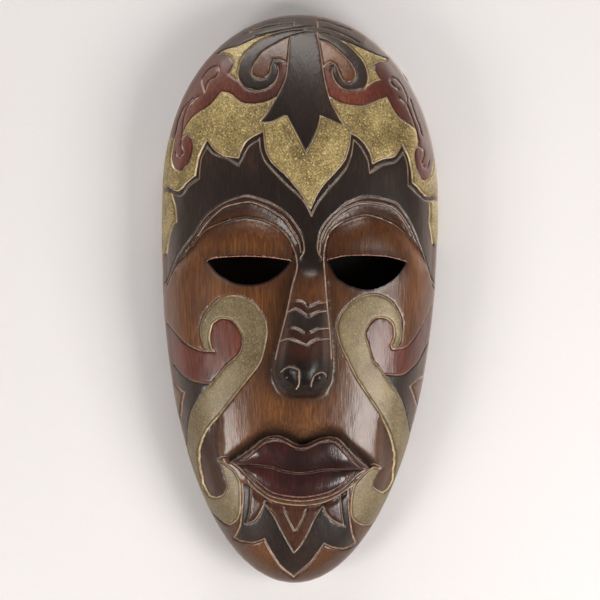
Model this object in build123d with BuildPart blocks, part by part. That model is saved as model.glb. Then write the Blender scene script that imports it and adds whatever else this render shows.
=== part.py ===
"""Carved wooden wall mask: one hollowed block of wood with a hinged ring hanger screwed to its back.

The frame has +Z up the mask, -Y out of its face, and its origin where the wall hook meets the ring,
on the wall plane y = 0. Heights "above the chin" are turned into z by above_chin().
"""

import os
from math import asin, cos, degrees, pi, radians, sin, sqrt

from build123d import *

# Block, seen from the front. The outline is widest at WIDEST and rounder above it than below.
MASK_HEIGHT = 500.0
MASK_WIDTH = 243.0
WIDEST = 325.0  # above the chin
CROWN_POWER = 2.35  # roundness of the outline above WIDEST
JAW_POWER = 2.2  # roundness of the outline below WIDEST
CHIN_LEAN = 5.0  # how far the chin is carved off centre, towards -X
OUTLINE_POINTS = 24

# Block, in depth. The sides run back to the wall, and the front is a dome.
SIDE_DEPTH = 26.0  # from the wall plane to the widest line
DOME_DEPTH = 66.0  # from the widest line to the fullest point
DOME_POWER = 2.3
FULLEST = 285.0  # above the chin
WALL_EDGE_SCALE = 0.975  # the sides draw in a little towards the wall
DOME_SCALES = (1.0, 0.98, 0.94, 0.87, 0.77, 0.64, 0.48, 0.30, 0.16)

# Hollow in the back
SIDE_WALL = 18.5
FRONT_WALL = 16.0
TOP_LAND = 74.0  # solid wood left above the hollow, for the hanger
CHIN_LAND = 26.0
HOLLOW_WIDEST = 300.0  # above the chin
HOLLOW_SIDE_DEPTH = 20.0
HOLLOW_MOUTH_SCALE = 1.01

# Eye slots: a nearly straight upper edge and a bowed lower one. The left one is on the -X side.
EYE_LINE = 284.0  # above the chin
EYE_INNER_CORNERS = (-9.5, 23.0)
EYE_OUTER_MARGINS = (22.5, 9.0)  # from the hollow's widest line in to each slot's outer corner
EYE_TOP_RISE = 3.0
EYE_DROP = 23.0

# Nose, as (above the chin, middle x, width, crest width, how far the crest stands over the dome)
NOSE_STATIONS = (
    (302.0, 8.5, 12.0, 6.0, 0.6),
    (270.0, 8.5, 25.0, 13.0, 5.0),
    (236.0, 6.5, 36.0, 20.0, 12.0),
    (205.0, 3.0, 48.0, 31.0, 20.0),
    (184.0, 2.0, 50.0, 36.0, 24.5),
    (169.0, 1.5, 36.0, 26.0, 17.0),
)
NOSE_ROOT = 14.0  # how far the nose's base is sunk into the dome
NOSE_SHOULDER = 0.2  # the crest's edges lie under its middle by this share of the nose's stand

# Mouth: two full lips with a parting between them
MOUTH_LINE = 101.0  # above the chin
MOUTH_WIDTH = 120.0
LIP_PEAK = 29.0  # top of the upper lip over the mouth line
LIP_DIP = 20.0  # the upper lip's notch over the mouth line
LIP_DROP = 28.0  # bottom of the lower lip under the mouth line
LIP_PEAK_PLACE = 0.42  # where the upper lip's peaks stand, as a share of the half mouth
LIP_ROOT = 16.5  # how far the lips' foot is sunk under the dome's surface at the mouth line
LIP_STAND = 8.5  # how far their crest stands over it
LIP_CREST_SHARE = 0.62  # size of the flat crest against the lips' foot
PARTING_WIDTH = 2.2
PARTING_DEPTH = 5.0

# Ring hanger
HOOK_BELOW_TOP = 28.0  # from the mask's top down to where the wall hook carries it
RING_WIRE = 2.4
RING_SIDE_PLAY = 1.5  # on each side of the strap
RING_REACH = 14.0  # from the pin line to the middle of the wire at the far end
RING_CORNER = 3.0
STRAP_WIDTH = 12.0
STRAP_LENGTH = 19.0
STRAP_SHEET = 0.8
STRAP_END_RADIUS = 4.5
KNUCKLE_PLAY = 0.08  # running clearance between the wire and the strap's roll
RING_REST_GAP = 0.4  # left between the hanging ring and the screw head
SCREW_BELOW_PIN = 11.5
SCREW_SHANK = 3.0
SCREW_LENGTH = 14.0
SCREW_POINT = 3.0  # length of the tapered end
SCREW_TIP = 0.6  # diameter of the blunt end
SCREW_HEAD = 6.4
SCREW_HEAD_HEIGHT = 1.9
SCREW_HEAD_ROUND = 1.2
SCREW_SLOT_WIDTH = 1.0
SCREW_SLOT_DEPTH = 0.7
SCREW_HOLE_PLAY = 0.2
POCKET_SIDE_MARGIN = 3.6  # on each side of the ring
POCKET_MARGIN = 7.0  # above the raised ring and below the strap
POCKET_DEPTH = 7.5
POCKET_CORNER = 5.0

# Places that follow from the sizes above
CHIN_Z = HOOK_BELOW_TOP - MASK_HEIGHT
THROUGH = 2.0 * (SIDE_DEPTH + DOME_DEPTH)
HOLLOW_HALF_WIDTH = MASK_WIDTH / 2 - SIDE_WALL
HOLLOW_TOP = MASK_HEIGHT - TOP_LAND
EYE_CORNERS = (
    (EYE_OUTER_MARGINS[0] - HOLLOW_HALF_WIDTH, EYE_INNER_CORNERS[0]),
    (EYE_INNER_CORNERS[1], HOLLOW_HALF_WIDTH - EYE_OUTER_MARGINS[1]),
)
RING_HALF_WIDTH = STRAP_WIDTH / 2 + RING_SIDE_PLAY + RING_WIRE / 2  # to the middle of the wire
POCKET_WIDTH = 2 * RING_HALF_WIDTH + RING_WIRE + 2 * POCKET_SIDE_MARGIN
KNUCKLE_BORE = RING_WIRE / 2 + KNUCKLE_PLAY
KNUCKLE_RADIUS = KNUCKLE_BORE + STRAP_SHEET
PIN_Z = RING_WIRE / 2 - RING_REACH
PIN_Y = KNUCKLE_RADIUS - POCKET_DEPTH
STRAP_TOP_Y = 2 * STRAP_SHEET - POCKET_DEPTH
SCREW_TOP_Y = STRAP_TOP_Y + SCREW_HEAD_HEIGHT
SCREW_Z = PIN_Z - SCREW_BELOW_PIN
RING_LEAN = degrees(asin((SCREW_TOP_Y + RING_REST_GAP + RING_WIRE / 2 - PIN_Y) / RING_REACH))
POCKET_TOP = RING_WIRE + POCKET_MARGIN
POCKET_BOTTOM = PIN_Z - STRAP_LENGTH - POCKET_MARGIN


def above_chin(height):
    """The z of a height above the chin."""
    return CHIN_Z + height


def front(depth):
    """The plane parallel to the wall that lies this far in front of it, with X right and Z up."""
    return Plane.XZ.offset(depth)


def outline(half_width, low, widest, high, scale):
    """Points round an egg shape that is widest at one height, scaled about the dome's fullest point."""
    points = []
    for i in range(OUTLINE_POINTS):
        angle = 2 * pi * (i + 0.5) / OUTLINE_POINTS
        rise = sin(angle)
        if rise > 0:
            height = widest + (high - widest) * rise ** (2 / CROWN_POWER)
            lean = 0.0
        else:
            height = widest - (widest - low) * (-rise) ** (2 / JAW_POWER)
            lean = CHIN_LEAN * (widest - height) / (widest - low)
        x = scale * (half_width * cos(angle) - lean)
        points.append((x, above_chin(FULLEST + scale * (height - FULLEST))))
    return points


def dome_rise(scale):
    """The share of the dome's depth reached where the outline is drawn in to this scale."""
    return sqrt(1 - scale**DOME_POWER)


def dome_depth(height):
    """Depth of the dome's surface over the wall plane, on the mask's middle line."""
    reach = MASK_HEIGHT - FULLEST if height > FULLEST else FULLEST
    return SIDE_DEPTH + DOME_DEPTH * dome_rise(abs(height - FULLEST) / reach)


def eye_outline(left, right):
    """The slot's edge between its two corners: an upper and a lower bowed line."""
    line = above_chin(EYE_LINE)
    middle = (left + right) / 2
    ThreePointArc((left, line), (middle, line + EYE_TOP_RISE), (right, line))
    ThreePointArc((right, line), (middle, line - EYE_DROP), (left, line))


# The block's outside and the hollow, each lofted from the wall towards the face
outer_levels = [(WALL_EDGE_SCALE, 0.0), ((1 + WALL_EDGE_SCALE) / 2, SIDE_DEPTH * 0.4)]
outer_levels += [(s, SIDE_DEPTH + DOME_DEPTH * dome_rise(s)) for s in DOME_SCALES]

hollow_dome = SIDE_DEPTH + DOME_DEPTH - FRONT_WALL - HOLLOW_SIDE_DEPTH
hollow_levels = [(HOLLOW_MOUTH_SCALE, -1.0)]
hollow_levels += [(s, HOLLOW_SIDE_DEPTH + hollow_dome * dome_rise(s)) for s in DOME_SCALES]

with BuildPart() as dome:
    for scale, depth in outer_levels:
        with BuildSketch(front(depth)):
            with BuildLine():
                Spline(*outline(MASK_WIDTH / 2, 0, WIDEST, MASK_HEIGHT, scale), periodic=True)
            make_face()
    loft(ruled=True)

with BuildPart() as hollow:
    for scale, depth in hollow_levels:
        with BuildSketch(front(depth)):
            with BuildLine():
                points = outline(HOLLOW_HALF_WIDTH, CHIN_LAND, HOLLOW_WIDEST, HOLLOW_TOP, scale)
                Spline(*points, periodic=True)
            make_face()
    loft(ruled=True)

with BuildPart() as nose:
    for height, middle, width, crest, stand in NOSE_STATIONS:
        with BuildSketch(Plane.XY.offset(above_chin(height))):
            with BuildLine():
                base = NOSE_ROOT - dome_depth(height)
                tip_y = -dome_depth(height) - stand
                Line((middle + width / 2, base), (middle - width / 2, base))
                Spline(
                    (middle - width / 2, base),
                    (middle - crest / 2, tip_y + stand * NOSE_SHOULDER),
                    (middle, tip_y),
                    (middle + crest / 2, tip_y + stand * NOSE_SHOULDER),
                    (middle + width / 2, base),
                )
            make_face()
    loft(ruled=True)

with BuildPart() as lips:
    line = above_chin(MOUTH_LINE)
    mouth_depth = dome_depth(MOUTH_LINE)
    for share, depth in ((1.0, mouth_depth - LIP_ROOT), (LIP_CREST_SHARE, mouth_depth + LIP_STAND)):
        corner = share * MOUTH_WIDTH / 2
        with BuildSketch(front(depth)):
            with BuildLine():
                Spline(
                    (-corner, line),
                    (-LIP_PEAK_PLACE * corner, line + share * LIP_PEAK),
                    (0, line + share * LIP_DIP),
                    (LIP_PEAK_PLACE * corner, line + share * LIP_PEAK),
                    (corner, line),
                )
                ThreePointArc((corner, line), (0, line - share * LIP_DROP), (-corner, line))
            make_face()
    loft(ruled=True)
    with BuildSketch(front(mouth_depth + LIP_STAND)):
        with Locations((0, line)):
            Rectangle(MOUTH_WIDTH, PARTING_WIDTH)
    extrude(amount=-PARTING_DEPTH, mode=Mode.SUBTRACT)

# The hanger's screw stands along Y, its head towards the wall
back = Plane((0, SCREW_TOP_Y, SCREW_Z), x_dir=(1, 0, 0), z_dir=(0, 1, 0))
with BuildPart() as hanger_screw:
    with BuildSketch(back):
        Circle(SCREW_HEAD / 2)
    extrude(amount=-SCREW_HEAD_HEIGHT)
    fillet(hanger_screw.edges().group_by(Axis.Y)[-1], SCREW_HEAD_ROUND)
    with BuildSketch(back):
        Rectangle(SCREW_HEAD, SCREW_SLOT_WIDTH)
    extrude(amount=-SCREW_SLOT_DEPTH, mode=Mode.SUBTRACT)
    with BuildSketch(back.offset(-SCREW_HEAD_HEIGHT)):
        Circle(SCREW_SHANK / 2)
    extrude(amount=SCREW_POINT - SCREW_LENGTH)
    with BuildSketch(back.offset(SCREW_POINT - SCREW_LENGTH - SCREW_HEAD_HEIGHT)):
        Circle(SCREW_SHANK / 2)
    with BuildSketch(back.offset(-SCREW_LENGTH - SCREW_HEAD_HEIGHT)):
        Circle(SCREW_TIP / 2)
    loft()
hanger_screw.part.label = "hanger_screw"

# The strap is folded round the ring's straight side, and its two layers lie on the pocket's floor
with BuildPart() as hanger_strap:
    with BuildSketch(Plane.YZ.offset(-STRAP_WIDTH / 2)):
        with Locations((PIN_Y, PIN_Z)):
            Circle(KNUCKLE_RADIUS)
        with Locations((-POCKET_DEPTH, PIN_Z)):
            Rectangle(2 * STRAP_SHEET, STRAP_LENGTH, align=(Align.MIN, Align.MAX))
        with Locations((PIN_Y, PIN_Z)):
            Circle(KNUCKLE_BORE, mode=Mode.SUBTRACT)
    extrude(amount=STRAP_WIDTH)
    fillet(hanger_strap.edges().filter_by(Axis.Y).group_by(Axis.Z)[0], STRAP_END_RADIUS)
    with BuildSketch(back):
        Circle(SCREW_SHANK / 2 + SCREW_HOLE_PLAY)
    extrude(amount=-POCKET_DEPTH, mode=Mode.SUBTRACT)
hanger_strap.part.label = "hanger_strap"

# The ring: a straight side in the strap's roll, two short sides and a half-round end
lean = radians(RING_LEAN)
ring_plane = Plane((0, PIN_Y, PIN_Z), x_dir=(1, 0, 0), z_dir=(0, -cos(lean), -sin(lean)))
with BuildPart() as hanger_ring:
    with BuildLine(ring_plane) as wire:
        half, end = RING_HALF_WIDTH, RING_HALF_WIDTH - RING_REACH
        FilletPolyline((-half, end), (-half, 0), (half, 0), (half, end), radius=RING_CORNER)
        ThreePointArc((half, end), (0, -RING_REACH), (-half, end))
    with BuildSketch(Plane(wire.line @ 0, z_dir=wire.line % 0)):
        Circle(RING_WIRE / 2)
    sweep(path=wire.line)
hanger_ring.part.label = "hanger_ring"

# The wood: the block with its features, hollowed, with the eye slots and the hanger's pocket
with BuildPart() as mask_body:
    add(dome.part)
    add(nose.part)
    add(lips.part)
    add(hollow.part, mode=Mode.SUBTRACT)
    with BuildSketch(front(0)):
        for left, right in EYE_CORNERS:
            with BuildLine():
                eye_outline(left, right)
            make_face()
    extrude(amount=THROUGH, mode=Mode.SUBTRACT)
    with BuildSketch(front(0)):
        with Locations((0, (POCKET_TOP + POCKET_BOTTOM) / 2)):
            RectangleRounded(POCKET_WIDTH, POCKET_TOP - POCKET_BOTTOM, POCKET_CORNER)
    extrude(amount=POCKET_DEPTH, mode=Mode.SUBTRACT)
    add(hanger_screw.part, mode=Mode.SUBTRACT)
mask_body.part.label = "mask_body"

os.makedirs("parts", exist_ok=True)
for piece in (mask_body, hanger_strap, hanger_ring, hanger_screw):
    export_step(piece.part, f"parts/{piece.part.label}.step")
    box = piece.part.bounding_box()
    print(piece.part.label, len(piece.part.solids()), "solid", round(piece.part.volume), "mm3", box)
print("pin", round(PIN_Y, 3), round(PIN_Z, 3), "ring lean", round(RING_LEAN, 2), "degrees")
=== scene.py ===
# %% [markdown]
# # A carved and stained wooden mask
# The real mask is one block of wood. Its outside is rounded, its back is hollowed, and fine lines
# are cut into the face with a V-tool. Stains, bronze paint and a varnish go on, and the cuts are
# left pale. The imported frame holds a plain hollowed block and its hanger. This script carves and
# finishes a mesh that takes the plain block's place, and gives the hanger its metals.

# %% Load the frame
import math

import bmesh
import bpy
import numpy as np
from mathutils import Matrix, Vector
from mathutils.geometry import delaunay_2d_cdt
from mathutils.kdtree import KDTree


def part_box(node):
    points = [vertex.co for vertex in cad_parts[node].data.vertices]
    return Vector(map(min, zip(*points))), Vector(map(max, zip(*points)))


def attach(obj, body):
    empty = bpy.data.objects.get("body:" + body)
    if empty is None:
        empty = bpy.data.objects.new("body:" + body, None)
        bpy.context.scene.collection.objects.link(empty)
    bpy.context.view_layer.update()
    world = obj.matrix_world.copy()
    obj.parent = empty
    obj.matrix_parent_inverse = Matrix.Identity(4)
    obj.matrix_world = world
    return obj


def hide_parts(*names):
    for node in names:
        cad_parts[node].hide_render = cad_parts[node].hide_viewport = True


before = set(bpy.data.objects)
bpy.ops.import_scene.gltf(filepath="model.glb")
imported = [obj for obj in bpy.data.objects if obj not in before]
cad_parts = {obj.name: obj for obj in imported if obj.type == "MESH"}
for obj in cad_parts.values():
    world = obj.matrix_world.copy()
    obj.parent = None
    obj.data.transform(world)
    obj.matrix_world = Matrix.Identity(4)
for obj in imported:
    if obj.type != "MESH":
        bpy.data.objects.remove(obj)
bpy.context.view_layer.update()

MM = 0.001
block_low, block_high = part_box("mask_body")
chin_z = block_low.z
height = (block_high.z - block_low.z) / MM
print("block", round(height), "mm tall,", round((block_high.x - block_low.x) / MM), "mm wide")

# %% [markdown]
# ## The camera
# A carving is drawn from straight in front, so the camera stands far off on the middle line with a
# long lens, which keeps the nose from looking too big for the outline.

# %% Camera
VIEW_DISTANCE = 12.0
VIEW_WIDTH = 0.5272  # metres across the picture, at the depth of the outline
VIEW_HEIGHT_SHARE = 0.4975  # how far up the mask the camera looks
OUTLINE_Y = -0.026
camera_data = bpy.data.cameras.new("camera")
camera_data.sensor_width = 36.0
camera_data.lens = camera_data.sensor_width * VIEW_DISTANCE / VIEW_WIDTH
camera = bpy.data.objects.new("camera", camera_data)
bpy.context.scene.collection.objects.link(camera)
camera.location = (0, OUTLINE_Y - VIEW_DISTANCE, chin_z + VIEW_HEIGHT_SHARE * height * MM)
camera.rotation_euler = (math.pi / 2, 0, 0)
bpy.context.scene.camera = camera
print("lens", round(camera_data.lens), "mm")

# %% [markdown]
# ## The rough block
# Before any line is cut, the block is an egg-shaped dome with straight sides behind it. Every
# point of the face is written as x across and h above the chin, in millimetres. The outline is
# the same rule as the plain block's: two rounded curves that meet where the mask is widest.

# %% The outline
WIDEST = 325.0  # mm above the chin
CROWN_POWER = 2.35  # 2 would be an ellipse, and more is squarer
JAW_POWER = 2.2
CHIN_LEAN = 5.0  # mm that the chin lies to the left of the middle line
MIDDLE = 285.0  # the height of the dome's fullest point


def egg(half_width, low, widest, high):
    """Radius of an egg outline about the dome's middle, as tables of angle and radius."""
    turn = np.linspace(-math.pi, math.pi, 1441)
    rise = np.sin(turn)
    above = widest + (high - widest) * np.abs(rise) ** (2 / CROWN_POWER)
    below = widest - (widest - low) * np.abs(rise) ** (2 / JAW_POWER)
    h = np.where(rise > 0, above, below)
    lean = CHIN_LEAN * np.clip((widest - h) / (widest - low), 0, 1)
    x = half_width * np.cos(turn) - lean
    angle = np.arctan2(h - MIDDLE, x)
    order = np.argsort(angle)
    return angle[order], np.hypot(x, h - MIDDLE)[order]


# %% [markdown]
# The same rule, with smaller sizes, gives the hollow behind the face. Both are shells: an outline,
# straight sides of some depth, and a dome in front of them. For drawing and meshing, a shell is
# laid out flat so that the steep parts near its edge get the room they need.

# %% The two shells
DOME_POWER = 2.3
DRAW_POWER = 1.35
HALVINGS = 34  # of the search for a share, far below a thousandth of a mm
SPREAD = 0.6  # how much room the dome's fall takes when a shell is laid out flat


class Shell:
    def __init__(self, outline, side, dome, draw_in):
        self.outline = outline
        self.side = side  # depth of the straight sides, in mm
        self.dome = dome  # depth of the dome in front of them
        self.draw_in = draw_in  # how much the sides draw in towards the wall

    def reach(self, angle):
        """Radius of the outline in each direction."""
        return np.interp(angle, *self.outline, period=2 * math.pi)

    def lay_out(self, x, h):
        """A point seen from the front, on the flat layout."""
        angle, run = np.arctan2(h - MIDDLE, x), np.hypot(x, h - MIDDLE)
        run = run + SPREAD * self.dome * (1 - bulge(run / self.reach(angle)))
        return run * np.cos(angle), run * np.sin(angle)

    def stand_up(self, u, v):
        """Back from the flat layout: x, h, depth, and x and h drawn on past the outline."""
        angle, run = np.arctan2(v, u), np.hypot(u, v)
        reach = self.reach(angle)
        low, high = np.zeros_like(run), np.ones_like(run)
        for _ in range(HALVINGS):
            share = (low + high) / 2
            short = reach * share + SPREAD * self.dome * (1 - bulge(share)) < run
            low, high = np.where(short, share, low), np.where(short, high, share)
        over = np.maximum(run - reach - SPREAD * self.dome, 0)
        back = np.minimum(over / self.side, 1)
        seen = reach * np.where(over > 0, 1 - self.draw_in * back**DRAW_POWER, share)
        drawn = reach * np.where(over > 0, 1, share) + over
        depth = np.where(over > 0, self.side * (1 - back), self.side + self.dome * bulge(share))
        turn = np.cos(angle), np.sin(angle)
        return seen * turn[0], MIDDLE + seen * turn[1], depth, drawn * turn[0], MIDDLE + drawn * turn[1]


def bulge(share):
    """Share of the dome's depth where the outline is drawn in to this share."""
    return np.sqrt(np.maximum(0.0, 1 - np.minimum(share, 1.0) ** DOME_POWER))


block_egg = egg(half_width=121.6, low=0, widest=WIDEST, high=height)
block = Shell(block_egg, side=26.0, dome=66.0, draw_in=0.025)
hollow_egg = egg(half_width=103.0, low=26.0, widest=300.0, high=426.0)
hollow = Shell(hollow_egg, side=20.0, dome=56.0, draw_in=-0.0095)
print("outline radius from", round(block.outline[1].min()), "to", round(block.outline[1].max()), "mm")

# %% [markdown]
# ## The cut lines
# Each line of the carving is a smooth stroke, and strokes meet in corners. So a line is written
# as one or more runs of points: a run bends smoothly through its points, and where one run ends
# and the next begins there is a corner. The points are the carver's drawing, in millimetres.

# %% A bent line
STROKE_STEP = 1.25  # mm between the points of a stroke


def bend(*runs):
    """A smooth line through each run of points, with a corner where two runs meet."""
    drawn = []
    for run in runs:
        p = np.array([run[0], *run, run[-1]], float)
        for a, b, c, d in zip(p, p[1:], p[2:], p[3:]):
            steps = max(1, round(np.hypot(*(c - b)) / STROKE_STEP))
            t = np.linspace(0, 1, steps, endpoint=False)[:, None]
            drawn.append(
                0.5 * (2 * b + (c - a) * t + (2 * a - 5 * b + 4 * c - d) * t**2
                       + (3 * b - a - 3 * c + d) * t**3)
            )
    return np.vstack([*drawn, p[-1:]])


def flip(line):
    return line[::-1]


lines = {}

# %% [markdown]
# ### The crown
# A dark stripe comes down the middle of the crown and flares into a fork. On each side of it is
# a brown teardrop with a dark arm curled round it, and a gold corner outside that.

# %% Crown lines
lines["stripe_left"] = bend(
    [(-8, 481), (-9.5, 473), (-11, 455), (-13, 443), (-20, 428), (-28, 413.5), (-35.2, 404.7)])
lines["stripe_right"] = bend(
    [(15.2, 484.5), (17, 475), (19, 462), (20.6, 450), (23.6, 435), (27.5, 422), (34, 409), (38.8, 401.3)])
lines["crown_arc"] = bend([(-8, 481), (-2, 482.8), (5, 484.4), (15.2, 484.5)])
lines["drop_left"] = bend(
    [(-8, 480.5), (-13, 479), (-21, 474.7), (-29.7, 469.5), (-35, 465), (-40.5, 457), (-42.8, 450),
     (-41.5, 445.8), (-35.7, 442.6), (-30, 444.2), (-26.5, 449), (-25.3, 455.2), (-22.7, 459.6),
     (-18.4, 459.8), (-12.5, 457)])
lines["arm_left"] = bend(
    [(2, 486.6), (-12, 484.9), (-24.5, 481.6), (-34, 478), (-45.3, 469.5), (-52.2, 460.4),
     (-55.2, 446.5), (-50.5, 437), (-45.3, 433.5), (-38.3, 432.4), (-31.4, 433.5), (-25.3, 436.5),
     (-21.4, 441.3), (-18.9, 449), (-20.1, 454.7)])
lines["drop_right"] = bend(
    [(17.2, 478), (23.6, 476), (29.7, 472), (35.7, 467), (41.8, 461), (46.5, 455), (49.2, 448),
     (48, 442.5), (43, 439.4), (38.6, 441), (35.6, 446), (32.7, 453.4), (30.5, 456.2), (27, 457.3),
     (20.5, 453.8)])
lines["arm_right"] = bend(
    [(16.7, 484.4), (23.6, 483.4), (29.7, 481.2), (35.7, 478), (43.5, 473), (54, 462), (58.5, 454.5),
     (60.4, 446), (59.6, 439.6), (57, 435), (52, 433), (46, 432.6), (40, 433.5), (35, 436),
     (31, 441), (28.4, 448), (29.2, 453.4)])
lines["corner_left_top"] = bend(
    [(-73, 466), (-66, 470), (-55.7, 472.5), (-47, 476.4), (-38.3, 480), (-24.5, 483.8)])
lines["corner_left_low"] = bend(
    [(-73, 466), (-63.5, 464.7), (-60.4, 462), (-59, 457.8), (-60.4, 452.6), (-63, 447.8)],
    [(-63, 447.8), (-57.8, 443), (-54.6, 441.5)])
lines["corner_right_top"] = bend(
    [(37, 477.5), (43.5, 475.5), (50.5, 472.5), (64.3, 466.4), (78, 461.7)])
lines["corner_right_low"] = bend(
    [(78, 461.7), (76, 459), (71.3, 459.2), (65.2, 456)],
    [(65.2, 456), (66.5, 450.8), (71.3, 442.6)],
    [(71.3, 442.6), (67, 441.3), (62.6, 438.7), (58, 436)])
lines["cap_left"] = bend([(-49.6, 483.4), (-38.3, 487.3), (-28, 490.3), (-16.7, 492), (-6.3, 492.5)])
lines["cap_left_high"] = bend([(-44.4, 486), (-29.7, 492.5), (-17.5, 494.6), (-5.8, 495)])
lines["cap_middle"] = bend(
    [(-39.2, 481.6), (-24, 485), (-12.3, 487.4), (0, 489.4), (8, 490.3), (21, 489), (31.4, 486.4),
     (42.7, 481.2), (52, 476)])
lines["cap_right"] = bend([(17, 495), (25, 494), (34, 490.7), (43.5, 487.3)])
lines["cap_tick_left"] = bend([(-5.4, 490.5), (-5.4, 495)])
lines["cap_tick_right"] = bend([(15.8, 490), (15.8, 495.2)])
print(len(lines), "lines so far")

# %% [markdown]
# ### The sides of the crown
# The stained sides carry small freehand loops and two thin strands on each side. The strands run
# down into a curled hook.

# %% Side loops and hooks
lines["loop_left"] = bend(
    [(-85, 432.6), (-87.7, 441.3), (-85.6, 446.5), (-81.7, 451.7), (-77, 454.5), (-73, 454),
     (-72, 450.8), (-74, 446.5), (-77.3, 443.5), (-81.2, 441.3), (-82.5, 437.4), (-83.8, 433.5)])
lines["loop_right"] = bend(
    [(87, 434.4), (84.3, 436), (81, 440), (80.6, 443.6), (85, 444), (89.5, 439.6), (93, 433.5),
     (95.2, 426), (93.8, 422), (90, 425)])
lines["tick_right"] = bend([(92, 446.5), (95.5, 441), (100, 436)])
lines["strand_left"] = bend(
    [(-92, 426.5), (-96.4, 422.6), (-100, 418.7), (-103.3, 408.3), (-104.6, 394.5), (-104.6, 390)])
lines["strand_left_out"] = bend(
    [(-95.5, 425.5), (-103, 418.7), (-106.8, 411), (-109, 404), (-111, 394.8)])
lines["hook_left"] = bend(
    [(-104.6, 390), (-102.5, 392.6), (-99, 393.8), (-96, 391.3), (-94.5, 385.3), (-95, 378.3),
     (-97.3, 371.4), (-100, 366), (-103.3, 362.7), (-107.2, 362), (-111, 364), (-113.3, 368),
     (-114.2, 374), (-113, 382.7), (-111, 394.8)])
lines["curl_left"] = bend(
    [(-104.6, 390), (-105, 384.4), (-103.3, 379.6), (-103.8, 376.2), (-106.4, 374), (-109, 375),
     (-110.3, 378.3)])
lines["strand_right"] = bend([(99, 424), (102, 414), (104.2, 407.5), (106.8, 401.4), (108.5, 394.5)])
lines["strand_right_in"] = bend([(96, 419), (99, 411), (102, 402.5), (104, 396), (105.5, 388)])
lines["hook_right"] = bend(
    [(104.6, 383), (102.5, 381), (101.2, 375.7), (102, 368), (105.5, 357.5), (109.4, 353.6),
     (113, 354.5), (116, 358.4), (117.6, 363.6), (118.5, 371.4)])
lines["curl_right"] = bend(
    [(104.6, 383), (108.5, 381.4), (110, 376.6), (107.5, 369.7), (110.7, 364.6), (113.3, 365.8),
     (115, 371)])
print(len(lines), "lines so far")

# %% [markdown]
# ### The gold band and the leaf
# The band runs right across the forehead and a pointed leaf hangs from its middle. Both stand
# proud, so their lower edges are double: one line at the top of the step and one at its foot.

# %% Band and leaf lines
lines["leaf_top"] = bend(
    [(-35.2, 404.5), (-29, 404.2), (-22.7, 405.7), (-17.5, 408.3), (-13, 410.2), (-11, 409)],
    [(-11, 409), (-3.7, 395), (5.3, 377.5)],
    [(5.3, 377.5), (10.6, 387), (15.8, 400), (18, 410)],
    [(18, 410), (24.5, 407.5), (33, 403.8), (41.5, 399.6), (44.8, 394.4)])
lines["leaf_left"] = bend(
    [(-35.2, 404.5), (-32.3, 396), (-30.5, 381), (-24.5, 369), (-11.5, 356.7), (0.6, 342), (9.4, 328.5)])
lines["leaf_right"] = bend(
    [(44.8, 394.4), (44, 386), (41, 375), (36.6, 367), (21, 349.7), (15, 341), (9.4, 328.5)])
lines["leaf_left_foot"] = bend(
    [(-35.7, 391), (-35.3, 382.7), (-33, 375), (-28.8, 367.5), (-14, 351.5), (2.4, 336), (10.2, 322)])
lines["leaf_right_foot"] = bend(
    [(47.4, 387.5), (46, 378), (43.5, 369.7), (38.3, 360), (21, 340), (15, 331.5), (10.2, 322)])
lines["leaf_ridge"] = bend([(-14.5, 401), (-11.4, 393), (-7.5, 386.5)])
lines["band_left_top"] = bend(
    [(-20.6, 427), (-24.5, 425), (-30.5, 422.6), (-38.3, 421), (-47, 421), (-54, 423.5),
     (-62, 430), (-69.5, 432)],
    [(-69.5, 432), (-74.7, 425.7), (-78.2, 421.3), (-83.4, 417.4), (-93, 411.4), (-97.3, 407),
     (-102.5, 398.8), (-104.6, 390)])
lines["band_right_top"] = bend(
    [(25.3, 427.6), (29.7, 425), (34, 422.6), (40, 420.5), (48.7, 419.2), (57.4, 419.2),
     (69.5, 424.4), (77, 427)],
    [(77, 427), (80.4, 420), (84.3, 413.5), (88.6, 408.3), (94.7, 404.4), (100, 401), (103.3, 396),
     (104.6, 383)])
lines["band_left_low"] = bend(
    [(-33, 396.3), (-41.8, 391.8), (-47, 388), (-50.5, 382.7), (-54.4, 373)],
    [(-54.4, 373), (-61, 374), (-68.7, 376), (-75.6, 380.5), (-82.5, 389.2)],
    [(-82.5, 389.2), (-87.7, 379), (-90, 373), (-91.6, 365), (-92.8, 358)],
    [(-92.8, 358), (-100.7, 351.5), (-104.6, 347), (-108.5, 344.5), (-113, 345.4), (-117, 347.5)])
lines["band_left_foot"] = bend(
    [(-36.2, 389.2), (-41.8, 386), (-47, 380.5), (-50, 374), (-53.9, 366.6)],
    [(-53.9, 366.6), (-64.3, 372.7), (-73, 375.3), (-78.2, 378.3), (-82.5, 383.5)],
    [(-82.5, 383.5), (-87.7, 374), (-89.3, 365), (-90, 355)],
    [(-90, 355), (-99, 349), (-103.3, 342.8), (-107.7, 339.8), (-112, 340.6), (-117, 342.5)])
lines["band_right_low"] = bend(
    [(44.6, 395), (50.5, 392), (54.8, 388), (59, 382.7), (62.2, 376.6), (64.3, 368)],
    [(64.3, 368), (73, 372.3), (80, 373.6), (85, 375.7), (91, 385.3)],
    [(91, 385.3), (93, 381), (96, 375), (98, 368), (99.4, 360), (100, 351.5)],
    [(100, 351.5), (104.2, 348), (108.5, 343), (112, 340), (117.5, 340)])
lines["band_right_foot"] = bend(
    [(47.4, 389.5), (52.2, 384.8), (56.5, 378.3), (60.4, 370.5), (61.8, 360)],
    [(61.8, 360), (71.3, 366), (79, 368), (85, 370), (92, 378.3)],
    [(92, 378.3), (94.7, 372.3), (96.4, 364.5), (96.8, 349)],
    [(96.8, 349), (103.3, 343), (107.7, 339.3), (112, 336.3), (117.5, 335)])
lines["side_left"] = bend(
    [(-115.5, 343), (-111.6, 331), (-110.3, 317)],
    [(-110.3, 317), (-113.3, 315), (-116, 308), (-118, 298), (-119.6, 289)])
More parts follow.
